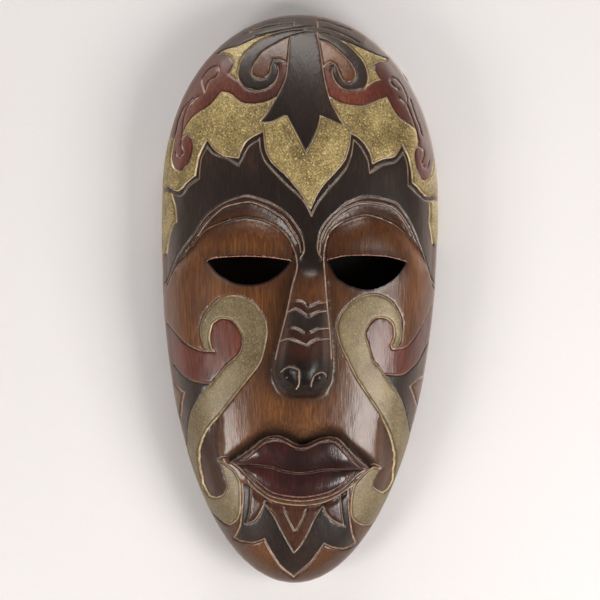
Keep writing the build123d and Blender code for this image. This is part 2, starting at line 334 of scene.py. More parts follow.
lines["side_right"] = bend(
    [(116, 336), (116.3, 326), (115.6, 317)], [(115.6, 317), (117.2, 309), (119, 298)])
print(len(lines), "lines so far")

# %% [markdown]
# ### The brows and the eyes
# Two lines close together make the brow's rolled edge. Under it the wood is scooped out to a lid
# line, and the lid swells out again below that. The inner ends run on down as the nose's edges.

# %% Brow and eye lines
lines["brow_left"] = bend(
    [(-119.8, 263), (-114.2, 278), (-109.4, 287), (-104.2, 294.4), (-95.5, 304.8), (-87.7, 316.8),
     (-81.7, 323.7), (-74, 329.8), (-65.2, 335), (-52.2, 339.5), (-44.4, 339.8), (-29.7, 335.2),
     (-21, 330.7), (-13.2, 325), (-6.3, 317.7), (1.5, 304.7), (3.7, 292), (0.2, 285)])
lines["brow_left_in"] = bend(
    [(-90.5, 305), (-84.3, 314.2), (-73, 325.5), (-64.3, 330.7), (-47, 334.3), (-38.3, 332.8),
     (-29.7, 329.4), (-21, 324.2), (-13.2, 318), (-3.7, 303.8), (-0.4, 297), (0.6, 290)])
lines["lid_left"] = bend(
    [(-117, 262), (-112, 273.6), (-107.7, 280.5), (-97.3, 293.5), (-86.9, 306.4), (-81.7, 310.7),
     (-67.8, 316.8), (-51.3, 321), (-42.7, 320.7), (-34, 319), (-25.3, 315.5), (-17.5, 310.7),
     (-11.5, 304.7), (-7, 297), (-3.2, 285.7), (-2.8, 275.3), (-7, 260), (-11.5, 238),
     (-17.5, 214.7), (-22, 194.7), (-22.4, 186), (-19.2, 176.8), (-13, 170)])
lines["brow_right"] = bend(
    [(18.8, 285.7), (15.6, 292), (16.2, 302), (18.4, 309), (22, 315), (26.2, 320.3), (31.4, 325.4),
     (38.3, 331), (44.4, 334.9), (55.7, 338.6), (67.8, 337.8), (80, 335), (87, 331.5), (95.5, 320.7),
     (102, 309), (105, 302), (108.5, 293.4), (113, 281.4), (118.8, 263)])
lines["brow_right_in"] = bend(
    [(17.5, 289), (18.4, 300), (21, 307), (24.5, 313), (29.7, 319.4), (35, 324.2), (41.8, 328.6),
     (49, 331.8), (56, 333), (67, 332.2), (78, 329.6), (87, 324), (94, 314.5), (99.5, 304.5)])
lines["lid_right"] = bend(
    [(118, 258), (113, 276), (106.8, 291), (97.3, 303), (86, 313), (80, 316.4), (73, 319.4),
     (59, 323), (44.4, 319.8), (30.5, 312.5), (23.6, 302), (21, 285.7), (22, 268.4), (23.6, 246),
     (26.2, 221.6), (27.5, 197), (26.6, 182), (24.6, 174.6), (19, 169.6)])
lines["eye_left"] = bend(
    [(-81.5, 283), (-73, 285.3), (-51.3, 286.6), (-29.7, 285.9), (-8, 283)],
    [(-8, 283), (-15, 274.5), (-22.7, 268.4), (-31.4, 264), (-44, 261.8), (-57.4, 263.6),
     (-66, 268), (-73, 272.7), (-81.5, 283)])
lines["eye_right"] = bend(
    [(24.2, 283.5), (38.3, 286.8), (55.7, 287.5), (77, 286.3), (93.8, 281.8)],
    [(93.8, 281.8), (86, 270.5), (78, 263.8), (68, 259), (59, 257.5), (47, 260), (38.3, 264),
     (31.4, 269.7), (24.2, 283.5)])
print(len(lines), "lines so far")

# %% [markdown]
# ### The nose
# Four pairs of short strokes cross the bridge and meet in its middle. Each nostril is a small
# bulb with a ring cut round it.

# %% Nose lines
for name, left, right in (
    ("bridge_1", [(-2.4, 247.7), (1, 248.0), (5, 245)], [(9.3, 243.7), (15, 245.4), (22.6, 246.3)]),
    ("bridge_2", [(-9.8, 238.5), (-2.8, 240.7), (5.8, 235)], [(9.7, 235.5), (15, 237.6), (23.6, 239)]),
    ("bridge_3", [(-8, 224.4), (-3, 224.0), (4, 220)], [(9.7, 220.7), (15.8, 223), (25.3, 223.8)]),
    ("bridge_4", [(-17.5, 212.5), (-9, 214.7), (5, 210)], [(7.5, 210.3), (12.3, 213), (26, 214.7)]),
):
    lines[name + "_left"] = bend(left)
    lines[name + "_right"] = bend(right)
lines["nostril_left"] = bend(
    [(-16.8, 185.6), (-13, 188.8), (-8, 189.8), (-3, 188.4), (-0.8, 186.4), (-0.6, 179.2), (-1, 174.4),
     (-3.4, 170.4)])
lines["nostril_right"] = bend(
    [(9.8, 172.8), (10.6, 177.6), (13.4, 182.8), (18.2, 185.2), (22.2, 184), (23.8, 180)])
print(len(lines), "lines so far")

# %% [markdown]
# ### The cheek scrolls
# A broad gold ribbon starts in a hook beside each eye, runs down past the mouth and turns up
# again at its corner. Thin leaf lines lie between the ribbon and the mask's edge.

# %% Scroll and leaf lines
lines["scroll_left_out"] = bend(
    [(-75, 203.3), (-81.7, 204.3), (-85.6, 210.3), (-87.7, 223.3), (-83.4, 236.3), (-73, 248),
     (-66, 251), (-59, 252.4), (-51.3, 251.5), (-44.4, 248), (-38.3, 243.3), (-31, 232),
     (-29.2, 225), (-29.2, 216.4), (-33, 199), (-37.6, 189.6), (-44, 181.6), (-56.8, 165.6),
     (-70.4, 148.8), (-78.4, 140), (-83.2, 133.6), (-87.2, 125.6), (-89.6, 117.6), (-90, 109.6),
     (-89.2, 101.6), (-88, 94), (-86.4, 86), (-81.5, 77), (-75.3, 74.5)])
lines["scroll_left_in"] = bend(
    [(-75, 203.3), (-78.2, 207), (-79.8, 215), (-77.8, 226), (-74.7, 229.8), (-69.5, 232.4),
     (-64.3, 232), (-58.3, 229), (-51.3, 218), (-50.9, 211), (-52.6, 204), (-56.5, 198.6),
     (-64.8, 192), (-70.4, 184.8), (-76.8, 177.6), (-88, 164.8), (-96, 152), (-99.6, 137.6),
     (-99.8, 121.6), (-99.4, 104)])
lines["corner_hook_left"] = bend(
    [(-80, 64), (-74.6, 58.6), (-69.6, 54.4), (-62.8, 51), (-57, 54.4), (-53.7, 60), (-52.6, 67), (-52.6, 86),
     (-55, 93), (-58.3, 98.7), (-64, 103), (-69.6, 106.6), (-75, 106.6)],
    [(-75, 106.6), (-70.7, 103), (-67.3, 92), (-65.6, 85), (-66.8, 80.5), (-69.6, 76.6), (-75.3, 74.5)])
lines["corner_tick_left"] = bend([(-75, 106.6), (-72, 110), (-66, 111.4)])
lines["scroll_right_out"] = bend(
    [(82.5, 205.2), (88.2, 212), (89.5, 225), (88.6, 233.7), (82.5, 245), (76.5, 250), (69.5, 253),
     (61.7, 253.2), (54, 251.5), (47, 247.6), (41, 242.4), (35.7, 235.5), (33, 227.7), (32.7, 220),
     (37, 206), (40.6, 199), (47, 185.6), (51, 178.4), (62.2, 161.6), (71.8, 147.2), (79.8, 131.2),
     (84.2, 115.2), (84.6, 107.2), (83.8, 99.2), (82.6, 90.4), (79, 83), (74.5, 78.8)])
lines["scroll_right_in"] = bend(
    [(82.5, 205.2), (80.6, 208.6), (83.4, 217), (82.5, 226), (79, 230.7), (74, 233), (68.7, 233),
     (63.5, 230.3), (57.8, 220), (60.4, 209.5), (64.6, 196), (69.4, 190.4), (78.2, 177.6),
     (88.6, 163.2), (94.2, 148.8), (97, 132.8), (96.2, 120), (94.6, 104)])
lines["corner_hook_right"] = bend(
    [(76, 62), (71, 56), (65.3, 52.2), (57.4, 50.5), (50.6, 53.3), (46, 59), (45.5, 72.6), (47.8, 85),
     (53, 92), (58.5, 97.5), (65.3, 101.5), (73.5, 99.5)],
    [(73.5, 99.5), (70, 97.5), (65.3, 87.3), (67, 82.8), (74.5, 78.8)])
lines["corner_tick_right"] = bend([(73.5, 99.5), (70.2, 102.8), (65, 105)])
lines["leaf_1_left"] = bend(
    [(-117, 227.5), (-108.5, 217.3), (-104.2, 212.5), (-99, 209), (-92, 205.6), (-86, 203.8), (-75, 203.3)])
lines["leaf_2_left"] = bend(
    [(-112, 191), (-105.6, 183.6), (-100.8, 180.4), (-95.2, 177.6), (-84.8, 175.6), (-78, 176)])
lines["leaf_3_left"] = bend(
    [(-110.5, 174), (-105.6, 169.2), (-102.8, 167.4)], [(-102.8, 167.4), (-104.6, 158), (-106, 146)])
lines["leaf_1_right"] = bend(
    [(82.5, 205.2), (88.6, 206), (94.7, 208), (102.5, 216.4), (110.2, 231), (118, 247)])
lines["leaf_2_right"] = bend(
    [(73.8, 183.6), (83.8, 182.8), (89.4, 182.8), (95, 184.8), (103.8, 192.8), (108.5, 200), (113.5, 212)])
lines["leaf_3_right"] = bend(
    [(109, 182), (104.6, 178.4), (97.8, 172.4)], [(97.8, 172.4), (101, 164.8), (103.4, 155.2), (104, 145)])
print(len(lines), "lines so far")

# %% [markdown]
# ### The mouth and the chin
# The lips have a rolled rim, which is a second line just inside the first. On the chin is a dark
# jagged shape with two V strokes inside it.

# %% Mouth and chin lines
lines["lip_top"] = bend(
    [(-61, 106.8), (-52.8, 111.2), (-41.6, 119.2), (-36, 124), (-30.4, 127.6), (-24, 129.4),
     (-17.6, 129.2), (-11.2, 126.4), (-6.4, 123.6), (0, 121.5), (5.4, 122), (11, 124.4),
     (17.4, 127.2), (23, 128.4), (29.4, 128), (35, 125.6), (43, 116.8), (53.4, 106.4), (60.5, 100.6)])
lines["lip_low"] = bend(
    [(-61, 106.8), (-53.7, 101.5), (-48, 95.3), (-41.2, 88.5), (-34.4, 82.2), (-26.5, 77),
     (-17.4, 74.3), (-6, 72.6), (5.2, 72.4), (16.6, 74.3), (26.8, 77), (36, 81.7), (42.7, 87.3),
     (48.3, 93), (54, 97.5), (60.5, 100.6)])
lines["lip_top_in"] = bend(
    [(-51, 107.2), (-45, 112), (-36, 119.8), (-30, 124), (-24, 126), (-17.6, 125.8), (-11, 123),
     (-5.5, 120), (0, 118.4), (5.8, 118.8), (11.5, 121.2), (17.5, 124), (23.2, 125.2), (28.6, 124.6),
     (33, 122.2), (40, 114.4), (48, 105.5), (53, 101.6)])
lines["lip_low_in"] = bend(
    [(-48, 100.5), (-38.6, 91), (-32.4, 85.2), (-25.4, 80.4), (-17, 77.8), (-5.8, 76.1), (5, 75.9),
     (16, 77.7), (25.6, 80.3), (33.6, 84.6), (40.4, 90.3), (48, 97.6)])
lines["parting"] = bend(
    [(-57, 104.6), (-40, 104.4), (-32, 103.6), (-24, 102.4), (-17.6, 100), (-8, 98), (0, 97.2),
     (11, 98.4), (19, 100), (27, 100.4), (43, 100.2), (57.4, 100.6)])
lines["lip_rim"] = bend(
    [(-46, 87.5), (-36.7, 80), (-28.8, 74.3), (-19.7, 71), (-8.4, 69), (5.2, 68.6), (18.8, 70.3),
     (30.2, 75), (39.3, 80.5), (48, 87.6)])
lines["chin_out"] = bend(
    [(-50.9, 87.3), (-50.3, 76), (-51, 67), (-52, 57.8), (-53.7, 48.8), (-58.8, 39)],
    [(-58.8, 39), (-52.6, 36.3), (-43.5, 35), (-36.7, 36.5), (-31.6, 38.8)],
    [(-31.6, 38.8), (-28.8, 33), (-24.2, 25), (-17.4, 14.8), (-5.5, 4.3)],
    [(-5.5, 4.3), (8.6, 17), (15.4, 25.5), (21.7, 34.6)],
    [(21.7, 34.6), (29, 31.2), (38, 29.5), (45, 31.2), (50, 35.2)],
    [(50, 35.2), (47.8, 39.7), (46, 46.5), (43.2, 67), (42.7, 82)])
lines["chin_v"] = bend(
    [(-30.5, 68), (-22, 56.7), (-16.3, 45.4), (-5.2, 26)],
    [(-5.2, 26), (0.7, 33), (6.4, 43), (12, 54.4), (19.4, 66.2)])
lines["chin_v_small"] = bend(
    [(-14.4, 65.6), (-9.5, 55.6), (-4.4, 45.4)], [(-4.4, 45.4), (0.7, 54.4), (5.6, 64.4)])
lines["chin_left"] = bend(
    [(-43.5, 84.5), (-44.6, 67), (-47.8, 51.6)], [(-47.8, 51.6), (-41.2, 54.4), (-36.7, 60), (-30.6, 71.8)])
lines["chin_right"] = bend(
    [(20.6, 66.4), (24.5, 60), (30.2, 54.4), (39.3, 50)], [(39.3, 50), (38, 57.8), (36.8, 67), (36, 77.6)])
print(len(lines), "lines drawn")

# %% [markdown]
# ## Zones between the lines
# A zone is an area with one finish, cut back by some depth. Zones are laid one over the other, as
# a painter would: the brown of the whole face first, then each patch inside its own lines. Past
# the outline a zone simply runs on, so that it also covers the sides of the block.

# %% Zone helpers
OUT = 150.0  # well past the outline, in mm
zones = []


def zone(finish, sink, *pieces):
    """Lays a finish inside a closed row of strokes and points, cut back by sink mm."""
    zones.append((finish, sink, np.vstack([np.asarray(piece, float) for piece in pieces])))


def part(name, start, end):
    """The stretch of a stroke between its points nearest to start and end, in that order."""
    line = lines[name]
    a, b = (int(np.argmin(np.hypot(*(line - np.array(p)).T))) for p in (start, end))
    return line[a : b + 1] if a <= b else flip(line[b : a + 1])


# %% Crown zones
zone("oxblood", 1.6, [(-OUT, 392)], flip(lines["band_left_top"]), lines["band_right_top"],
     [(OUT, 383), (OUT, 600), (-OUT, 600)])
zone("black", 1.4, [(-95, 466)], lines["corner_left_top"], lines["crown_arc"], [(29.7, 481.2)],
     lines["corner_right_top"], [(95, 466), (95, 600), (-95, 600)])
zone("bronze", 0.8, flip(lines["corner_left_low"]), lines["corner_left_top"])
zone("bronze", 0.8, lines["corner_right_top"], lines["corner_right_low"])
zone("black", 1.0, lines["arm_left"], [(-12.5, 457), (-10.5, 465), (-8, 481)])
zone("honey", 0.8, lines["drop_left"])
zone("black", 1.0, lines["arm_right"], [(20.5, 453.8), (19, 465), (16.7, 478)])
zone("honey", 0.8, lines["drop_right"])
print(len(zones), "zones so far")

# %% Forehead zones
zone("black", 2.4, flip(lines["band_left_low"]), lines["leaf_left"], flip(lines["leaf_right"]),
     lines["band_right_low"], [(OUT, 340), (OUT, 255)], flip(lines["brow_right"]),
     [(17, 272), (3, 272)], flip(lines["brow_left"]), [(-OUT, 255), (-OUT, 348)])
zone("bronze", 0, lines["band_left_top"], [(-OUT, 392), (-OUT, 347.5)], flip(lines["band_left_low"]),
     [(-34.5, 403), (-28, 413.5)])
zone("bronze", 0, lines["band_right_top"], [(OUT, 383), (OUT, 340)], flip(lines["band_right_low"]),
     [(38.8, 401.3), (34, 409)])
zone("bronze", 0, lines["leaf_top"], lines["leaf_right"], flip(lines["leaf_left"]))
zone("black", 0.4, lines["stripe_left"], lines["leaf_top"], flip(lines["stripe_right"]),
     flip(lines["crown_arc"]))
zone("oxblood", 1.0, lines["hook_left"])
zone("oxblood", 1.0, lines["hook_right"], [(OUT, 371), (OUT, 395), (106.5, 391)])
zone("bronze", 1.2, lines["side_left"], [(-OUT, 289), (-OUT, 343)])
zone("bronze", 1.2, lines["side_right"], [(OUT, 298), (OUT, 336)])
print(len(zones), "zones so far")

# %% Brow and nose zones
zone("umber", 1.6, lines["brow_left"], part("lid_left", (-3.2, 285.7), (-117, 262)))
zone("umber", 1.6, lines["brow_right"], part("lid_right", (118, 258), (21, 285.7)))
ledges = [
    np.vstack([lines["brow_left_in"], part("lid_left", (-3.2, 285.7), (-90, 303))]),
    np.vstack([lines["brow_right_in"], part("lid_right", (101, 299), (21, 285.7))]),
]
for ledge in ledges:
    zone("honey", 2.2, ledge)
zone("umber", 0, part("lid_left", (-9.5, 247), (-13, 170)), [(-11, 165), (0, 162.5), (12, 162.5), (17, 165)],
     part("lid_right", (19, 169.6), (23.6, 246)), flip(lines["bridge_1_right"]), flip(lines["bridge_1_left"]))
zone("black", 0, lines["bridge_2_left"], lines["bridge_2_right"], flip(lines["bridge_3_right"]),
     flip(lines["bridge_3_left"]))
print(len(zones), "zones so far")

# %% Cheek zones
zone("oxblood", 1.4, lines["leaf_1_left"], part("scroll_left_in", (-75, 203.3), (-78, 176)),
     flip(lines["leaf_2_left"]), [(-OUT, 205), (-OUT, 245)])
zone("black", 1.4, lines["leaf_2_left"], part("scroll_left_in", (-78, 176), (-99.4, 104)),
     [(-OUT, 104), (-OUT, 146)], flip(lines["leaf_3_left"]), [(-OUT, 180), (-OUT, 205)])
zone("oxblood", 1.4, lines["leaf_1_right"], [(OUT, 262), (OUT, 222)], flip(lines["leaf_2_right"]),
     part("scroll_right_in", (73.8, 183.6), (82.5, 205.2)))
zone("black", 1.4, lines["leaf_2_right"], [(OUT, 222), (OUT, 188)], lines["leaf_3_right"],
     [(OUT, 145), (OUT, 104)], part("scroll_right_in", (94.6, 104), (73.8, 183.6)))
zone("thin bronze", 0, lines["scroll_left_in"], [(-OUT, 104), (-OUT, 64)], lines["corner_hook_left"],
     flip(lines["scroll_left_out"]))
zone("thin bronze", 0, lines["scroll_right_in"], [(OUT, 104), (OUT, 62)], lines["corner_hook_right"],
     flip(lines["scroll_right_out"]))
strips = [
    np.vstack([[(-70.5, 150), (-70.5, 111)], part("corner_hook_left", (-75, 106.6), (-75.3, 74.5)),
               part("scroll_left_out", (-75.3, 74.5), (-71, 148))]),
    np.vstack([[(72, 150), (72, 104)], part("corner_hook_right", (73.5, 99.5), (74.5, 78.8)),
               part("scroll_right_out", (74.5, 78.8), (72, 147))]),
]
for strip in strips:
    zone("honey", 2.8, strip)
print(len(zones), "zones so far")

# %% Mouth and chin zones
moat_edge = bend(
    [(-66, 110), (-56, 119), (-40, 130.4), (-33.6, 136), (-25.6, 140.4), (-16, 141.6), (7, 140.6),
     (19, 140), (28.6, 138.4), (35, 134.4), (43, 124.8), (59, 114.4), (69, 106)])
moat = np.vstack([moat_edge, flip(lines["lip_top"])])
lips = np.vstack([lines["lip_top"], flip(lines["lip_low"])])
zone("lips", 0, lips)
zone("black", 1.6, lines["chin_out"], part("lip_rim", (42, 83), (-46, 87.5)))
zone("umber", 0.6, lines["chin_v"], [(12, 70), (-10, 69.2), (-26, 72.6)])
zone("umber", 0.6, lines["chin_left"], [(-36.7, 79.5)])
zone("umber", 0.6, lines["chin_right"], [(36, 78), (28, 74)])
print(len(zones), "zones laid")


# %% [markdown]
# ## A mesh that follows the strokes
# A V-tool leaves a sharp bottom, and a plain grid would turn it into a saw edge. So the mesh is
# drawn round the strokes: a row of points along the bottom of each cut, rows on both its sides,
# and a loose honeycomb in between. A constrained triangulation then joins them and keeps every
# stroke as a row of edges.

# %% Rows beside the strokes
ROW_GAPS = (0.55, 1.1, 1.75)  # mm from the bottom of the cut
TREE_STEP = 0.25  # mm between the points that stand for a stroke where its distance is asked
EYES = ("eye_left", "eye_right")


def laid(shell, line):
    """A line seen from the front, on the shell's flat layout."""
    return np.column_stack(shell.lay_out(*line.T))


def beside(line, gap):
    """A line moved by a gap to both of its sides."""
    way = np.gradient(line, axis=0)
    way /= np.hypot(*way.T)[:, None] + 1e-9
    side = gap * np.column_stack([-way[:, 1], way[:, 0]])
    return np.vstack([line + side, line - side])


def between(line, step):
    """Points along a line, no further apart than the step."""
    gaps = np.hypot(*np.diff(line, axis=0).T)
    return np.vstack(
        [a + (b - a) * np.arange(n)[:, None] / n
         for a, b, n in zip(line, line[1:], np.ceil(gaps / step).astype(int)) if n]
    )


def tree_of(points):
    """A search tree, for the distance from any point to the nearest of these."""
    tree = KDTree(len(points))
    for i, (u, v) in enumerate(points):
        tree.insert((u, v, 0), i)
    tree.balance()
    return tree


def distance(tree, points):
    return np.array([tree.find((u, v, 0))[2] for u, v in points])


def inside(polygon, points):
    """Which points lie inside a closed polygon, by counting the sides to their right."""
    low, high = polygon.min(axis=0), polygon.max(axis=0)
    near = np.all((points >= low) & (points <= high), axis=1)
    x, y = points[near].T
    hit = np.zeros(len(x), bool)
    for (ax, ay), (bx, by) in zip(polygon, np.roll(polygon, -1, axis=0)):
        if ay != by:
            cross = (ay > y) != (by > y)
            hit ^= cross & (x < ax + (bx - ax) * (y - ay) / (by - ay))
    result = np.zeros(len(points), bool)
    result[near] = hit
    return result


strokes = [laid(block, line) for name, line in lines.items() if name not in EYES]
cut_tree = tree_of(np.vstack([between(line, TREE_STEP) for line in strokes]))
eye_edges = [laid(block, lines[name]) for name in EYES]
eye_loops = [line[:-1] for line in eye_edges]
eye_tree = tree_of(np.vstack([between(line, TREE_STEP) for line in eye_edges]))
print("strokes run", round(sum(np.hypot(*np.diff(line, axis=0).T).sum() for line in strokes) / 1000, 1), "m")


# %% The honeycomb
LOOSE, FINE = 3.3, 2.1  # mm between the honeycomb's points
FINE_BOXES = ((3, -60, 34, 66), (0, -185, 76, 52), (0, 8, 125, 56))  # middle and half size, laid flat
EDGE_POINTS = 440
EYE_ROW_GAPS = (0.7, 1.6)  # mm
CLEAR_OF_ROWS = 0.8  # share of its gap that a row keeps from every stroke
MERGE = 0.6  # mm; of the points in one square of this size, one is kept
CLEAR_OF_CUTS, CLEAR_OF_EYES = 2.5, 2.4  # mm that the honeycomb stays away
ROW_RISE = 0.866  # of a honeycomb's rows, against the step along them


def honeycomb(step, low, high):
    """Points of a honeycomb that fills a box."""
    u, v = np.meshgrid(np.arange(low[0], high[0], step), np.arange(low[1], high[1], step * ROW_RISE))
    u[1::2] += step / 2
    return np.column_stack([u.ravel(), v.ravel()])


def rim_of(shell, count):
    """The shell's edge at the wall, on the flat layout."""
    angle = np.linspace(-math.pi, math.pi, count, endpoint=False)
    run = shell.reach(angle) + SPREAD * shell.dome + shell.side
    return np.column_stack([run * np.cos(angle), run * np.sin(angle)])


def is_fine(points):
    """Where the relief is small and steep: the nose, the mouth, and the brows with the eyes."""
    return np.any([(np.abs(points - (u, v)) < (wide, tall)).all(axis=1)
                   for u, v, wide, tall in FINE_BOXES], axis=0)


edge = rim_of(block, EDGE_POINTS)
loose, fine = (honeycomb(step, edge.min(axis=0), edge.max(axis=0)) for step in (LOOSE, FINE))
comb = np.vstack([loose[~is_fine(loose)], fine[is_fine(fine)]])
rows = np.vstack([beside(line, gap) for line in strokes for gap in ROW_GAPS])
row_gap = np.concatenate([np.full(2 * len(line), gap) for line in strokes for gap in ROW_GAPS])
rows = rows[distance(cut_tree, rows) > CLEAR_OF_ROWS * row_gap]
_, firsts = np.unique(np.round(rows / MERGE).astype(int), axis=0, return_index=True)
rows = rows[np.sort(firsts)]
eye_rows = np.vstack([beside(line, gap) for line in eye_edges for gap in EYE_ROW_GAPS])
comb = comb[distance(cut_tree, comb) > CLEAR_OF_CUTS]
comb = comb[distance(eye_tree, comb) > CLEAR_OF_EYES]
print(len(rows), "points beside the cuts,", len(comb), "in the honeycomb")


# %% Triangles between the points
def triangulate(loops, open_lines, loose_points, holes=()):
    """Joins points into triangles inside the first loop, outside the holes, keeping every line."""
    points, edges = [], []
    for line, closed in [(loop, True) for loop in loops] + [(line, False) for line in open_lines]:
        first, count = sum(len(p) for p in points), len(line)
        edges += [(first + i, first + i + 1) for i in range(count - 1)]
        edges += [(first + count - 1, first)] if closed else []
        points.append(line)
    points = np.vstack(points + ([loose_points] if len(loose_points) else []))
    result = delaunay_2d_cdt([Vector(p) for p in points], edges, [], 0, 1e-4, True)
    flat = np.array([tuple(p) for p in result[0]])
    faces = np.array([tuple(f) for f in result[2]])
    middles = flat[faces].mean(axis=1)
    keep = inside(loops[0], middles)
    for hole in holes:
        keep &= ~inside(hole, middles)
    where = np.zeros(len(points), int)
    for out, sources in enumerate(result[3]):
        where[sources] = out
    return flat, faces[keep], where


def within(points, border=1.0):
    """Which points lie inside the block's edge and clear of the eye slots."""
    keep = np.hypot(*points.T) < block.reach(np.arctan2(points[:, 1], points[:, 0])) + (
        SPREAD * block.dome + block.side - border)
    for loop in eye_loops:
        keep &= ~inside(loop, points)
    return keep


loose_points = np.vstack([points[within(points)] for points in (rows, eye_rows, comb)])
face_flat, face_tris, face_where = triangulate([edge, *eye_loops], strokes, loose_points, eye_loops)
print(len(face_flat), "points and", len(face_tris), "triangles on the face")


# %% [markdown]
# ## Relief
# The deep carving changes the block's form: the nose stands out of it, the brows are scooped from
# under, the lips swell, and a moat above the mouth sets them free. The fine carving is cut along
# the block's own surface: each zone's step and the V of each stroke. So the first is added
# straight towards the viewer and the second along the surface's normal.

# %% Where each point stands
face_x, face_h, face_depth, drawn_x, drawn_h = block.stand_up(*face_flat.T)
drawn = np.column_stack([drawn_x, drawn_h])


def surface(u, v):
    x, h, depth = block.stand_up(u, v)[:3]
    return np.column_stack([x, -depth, h])


REACH = 0.4  # mm to each side, for the slope of the surface
u, v = face_flat.T
across = surface(u + REACH, v) - surface(u - REACH, v)
upward = surface(u, v + REACH) - surface(u, v - REACH)
normals = np.cross(across, upward)
normals /= np.linalg.norm(normals, axis=1)[:, None]
cut = distance(cut_tree, face_flat)
print("deepest point of the plain dome", round(face_depth.max(), 1), "mm over the wall")


# %% Zone steps
def soften(values, triangles, rounds):
    """Evens values out between neighbouring points."""
    pairs = np.vstack([triangles[:, [0, 1]], triangles[:, [1, 2]], triangles[:, [2, 0]]])
    for _ in range(rounds):
        total, count = values.copy(), np.ones(len(values))
        for a, b in ((0, 1), (1, 0)):
            np.add.at(total, pairs[:, a], values[pairs[:, b]])
            np.add.at(count, pairs[:, a], 1)
        values = total / count
    return values


STEP_ROUNDS = 3  # how many rounds of evening out make a step's slope
middles = drawn[face_tris].mean(axis=1)
finish_names = ["honey", "black", "oxblood", "umber", "lips", "bronze", "thin bronze"]
face_finish = np.zeros(len(face_tris), int)
face_sink = np.zeros(len(face_tris))
for finish_name, depth, polygon in zones:
    covered = inside(polygon, middles)
    face_finish[covered] = finish_names.index(finish_name)
    face_sink[covered] = depth
corners = face_tris.ravel()
around = np.maximum(np.bincount(corners, minlength=len(drawn)), 1)
sink = np.bincount(corners, np.repeat(face_sink, 3), minlength=len(drawn)) / around
sink = soften(sink, face_tris, STEP_ROUNDS)
for i, name in enumerate(finish_names):
    print(name, (face_finish == i).sum(), "triangles")

# %% [markdown]
# The nose is drawn by its cross-sections from the brow down: middle, width and stand. Below its
# fullest section it turns in sharply towards the lip, and two small bulbs make the nostrils.

# %% The nose
NOSE = np.array([
    (316, 8.8, 10, 0), (302, 8.6, 16, 0.4), (285, 8.8, 24, 2.0), (268, 8.4, 27.4, 5.5), (249, 7.2, 33, 9.5),
    (238, 6.4, 36.5, 12.0), (225, 5.4, 41.4, 15.5), (206, 3.8, 47.4, 20.0), (195, 2.8, 50.0, 22.6),
    (186, 2.2, 50.6, 23.6), (178, 2.4, 48.6, 21.6), (173, 2.4, 44.0, 17.5), (169, 2.4, 38.0, 11.5),
    (166, 2.4, 33.0, 5.0), (163.5, 2.4, 28.0, 0),
])[::-1]
ROUNDNESS, FULLNESS = 2.6, 0.75  # of a cross-section
NOSE_FOOT = 0.6  # mm that each side runs out past the drawn width
NOSTRILS = ((-12.6, 180.6), (19.0, 179.8))
NOSTRIL_WIDTH, NOSTRIL_STAND, NOSTRIL_RING = 4.6, 3.0, 0.8  # mm; the ring is cut round the bulb

middle, width, stand = (np.interp(face_h, NOSE[:, 0], NOSE[:, i]) for i in (1, 2, 3))
off = np.minimum(np.abs(face_x - middle) / (width / 2 + NOSE_FOOT), 1)
nose_stand = stand * (1 - off**ROUNDNESS) ** FULLNESS
for x, h in NOSTRILS:
    near = np.hypot(face_x - x, face_h - h) / NOSTRIL_WIDTH
    nose_stand += NOSTRIL_STAND * np.maximum(0, 1 - near**2)
    nose_stand -= NOSTRIL_RING * np.exp(-(((near - 1.5) / 0.45) ** 2)) * (off < 1)
nose_stand = soften(nose_stand, face_tris, 1)
print("nose stands", round(nose_stand.max(), 1), "mm")

# %% [markdown]
# Under each brow the wood is scooped out between two lines. The scoop starts at the brow's rolled
# edge and is deepest at the lid line, so the lid starts low and swells out towards the slot.

# %% Brows and lids
COVE, LID = 8.5, 6.5  # mm that the scoop and the start of the lid lie below the block
FULL_COVE = 15.0  # width at which the scoop reaches its whole depth
EYE_HOLLOW, EYE_RIM = 2.6, 0.5  # mm that the wood falls round both eyes, and rises at a slot's edge
TINY = 0.01  # mm, so that nothing is divided by zero
LIDS = (("lid_left", (-112, 273.6), (-5, 268)), ("lid_right", (113, 276), (22, 268)))


def gap_to(*drawn_lines):
    """How far each point of the face is from the nearest of these lines."""
    points = [between(laid(block, line), 2 * TREE_STEP) for line in drawn_lines]
    return distance(tree_of(np.vstack(points)), face_flat)


def ramp(values, start, end):
    """From 0 at the start to 1 at the end, which may lie below the start."""
    return np.clip((values - start) / (end - start), 0, 1)


def bell(values, width, power=2):
    """1 where the values are 0, fading out to both sides."""
    return np.exp(-((values / width) ** power))


eye_gap = distance(eye_tree, face_flat)
to_brow = gap_to(lines["brow_left_in"], lines["brow_right_in"])
to_lid = gap_to(lines["lid_left"], lines["lid_right"])
down_cove = to_brow / (to_brow + to_lid + TINY)
in_cove = np.any([inside(ledge, drawn) for ledge in ledges], axis=0)
form = -COVE * in_cove * down_cove**1.3 * np.minimum(1, (to_brow + to_lid) / FULL_COVE)
for name, start, end in LIDS:
    lid = inside(part(name, start, end), drawn)
    form -= lid * LID * ramp(face_h, 262, 296) * bell(to_lid, 11, 1.4)
    print(name, lid.sum(), "points")
form += EYE_RIM * bell(eye_gap - 1.2, 1.5)
form -= EYE_HOLLOW * bell(face_x - 6.8, 66, 4) * bell(face_h - 268, 26) * (off >= 1)

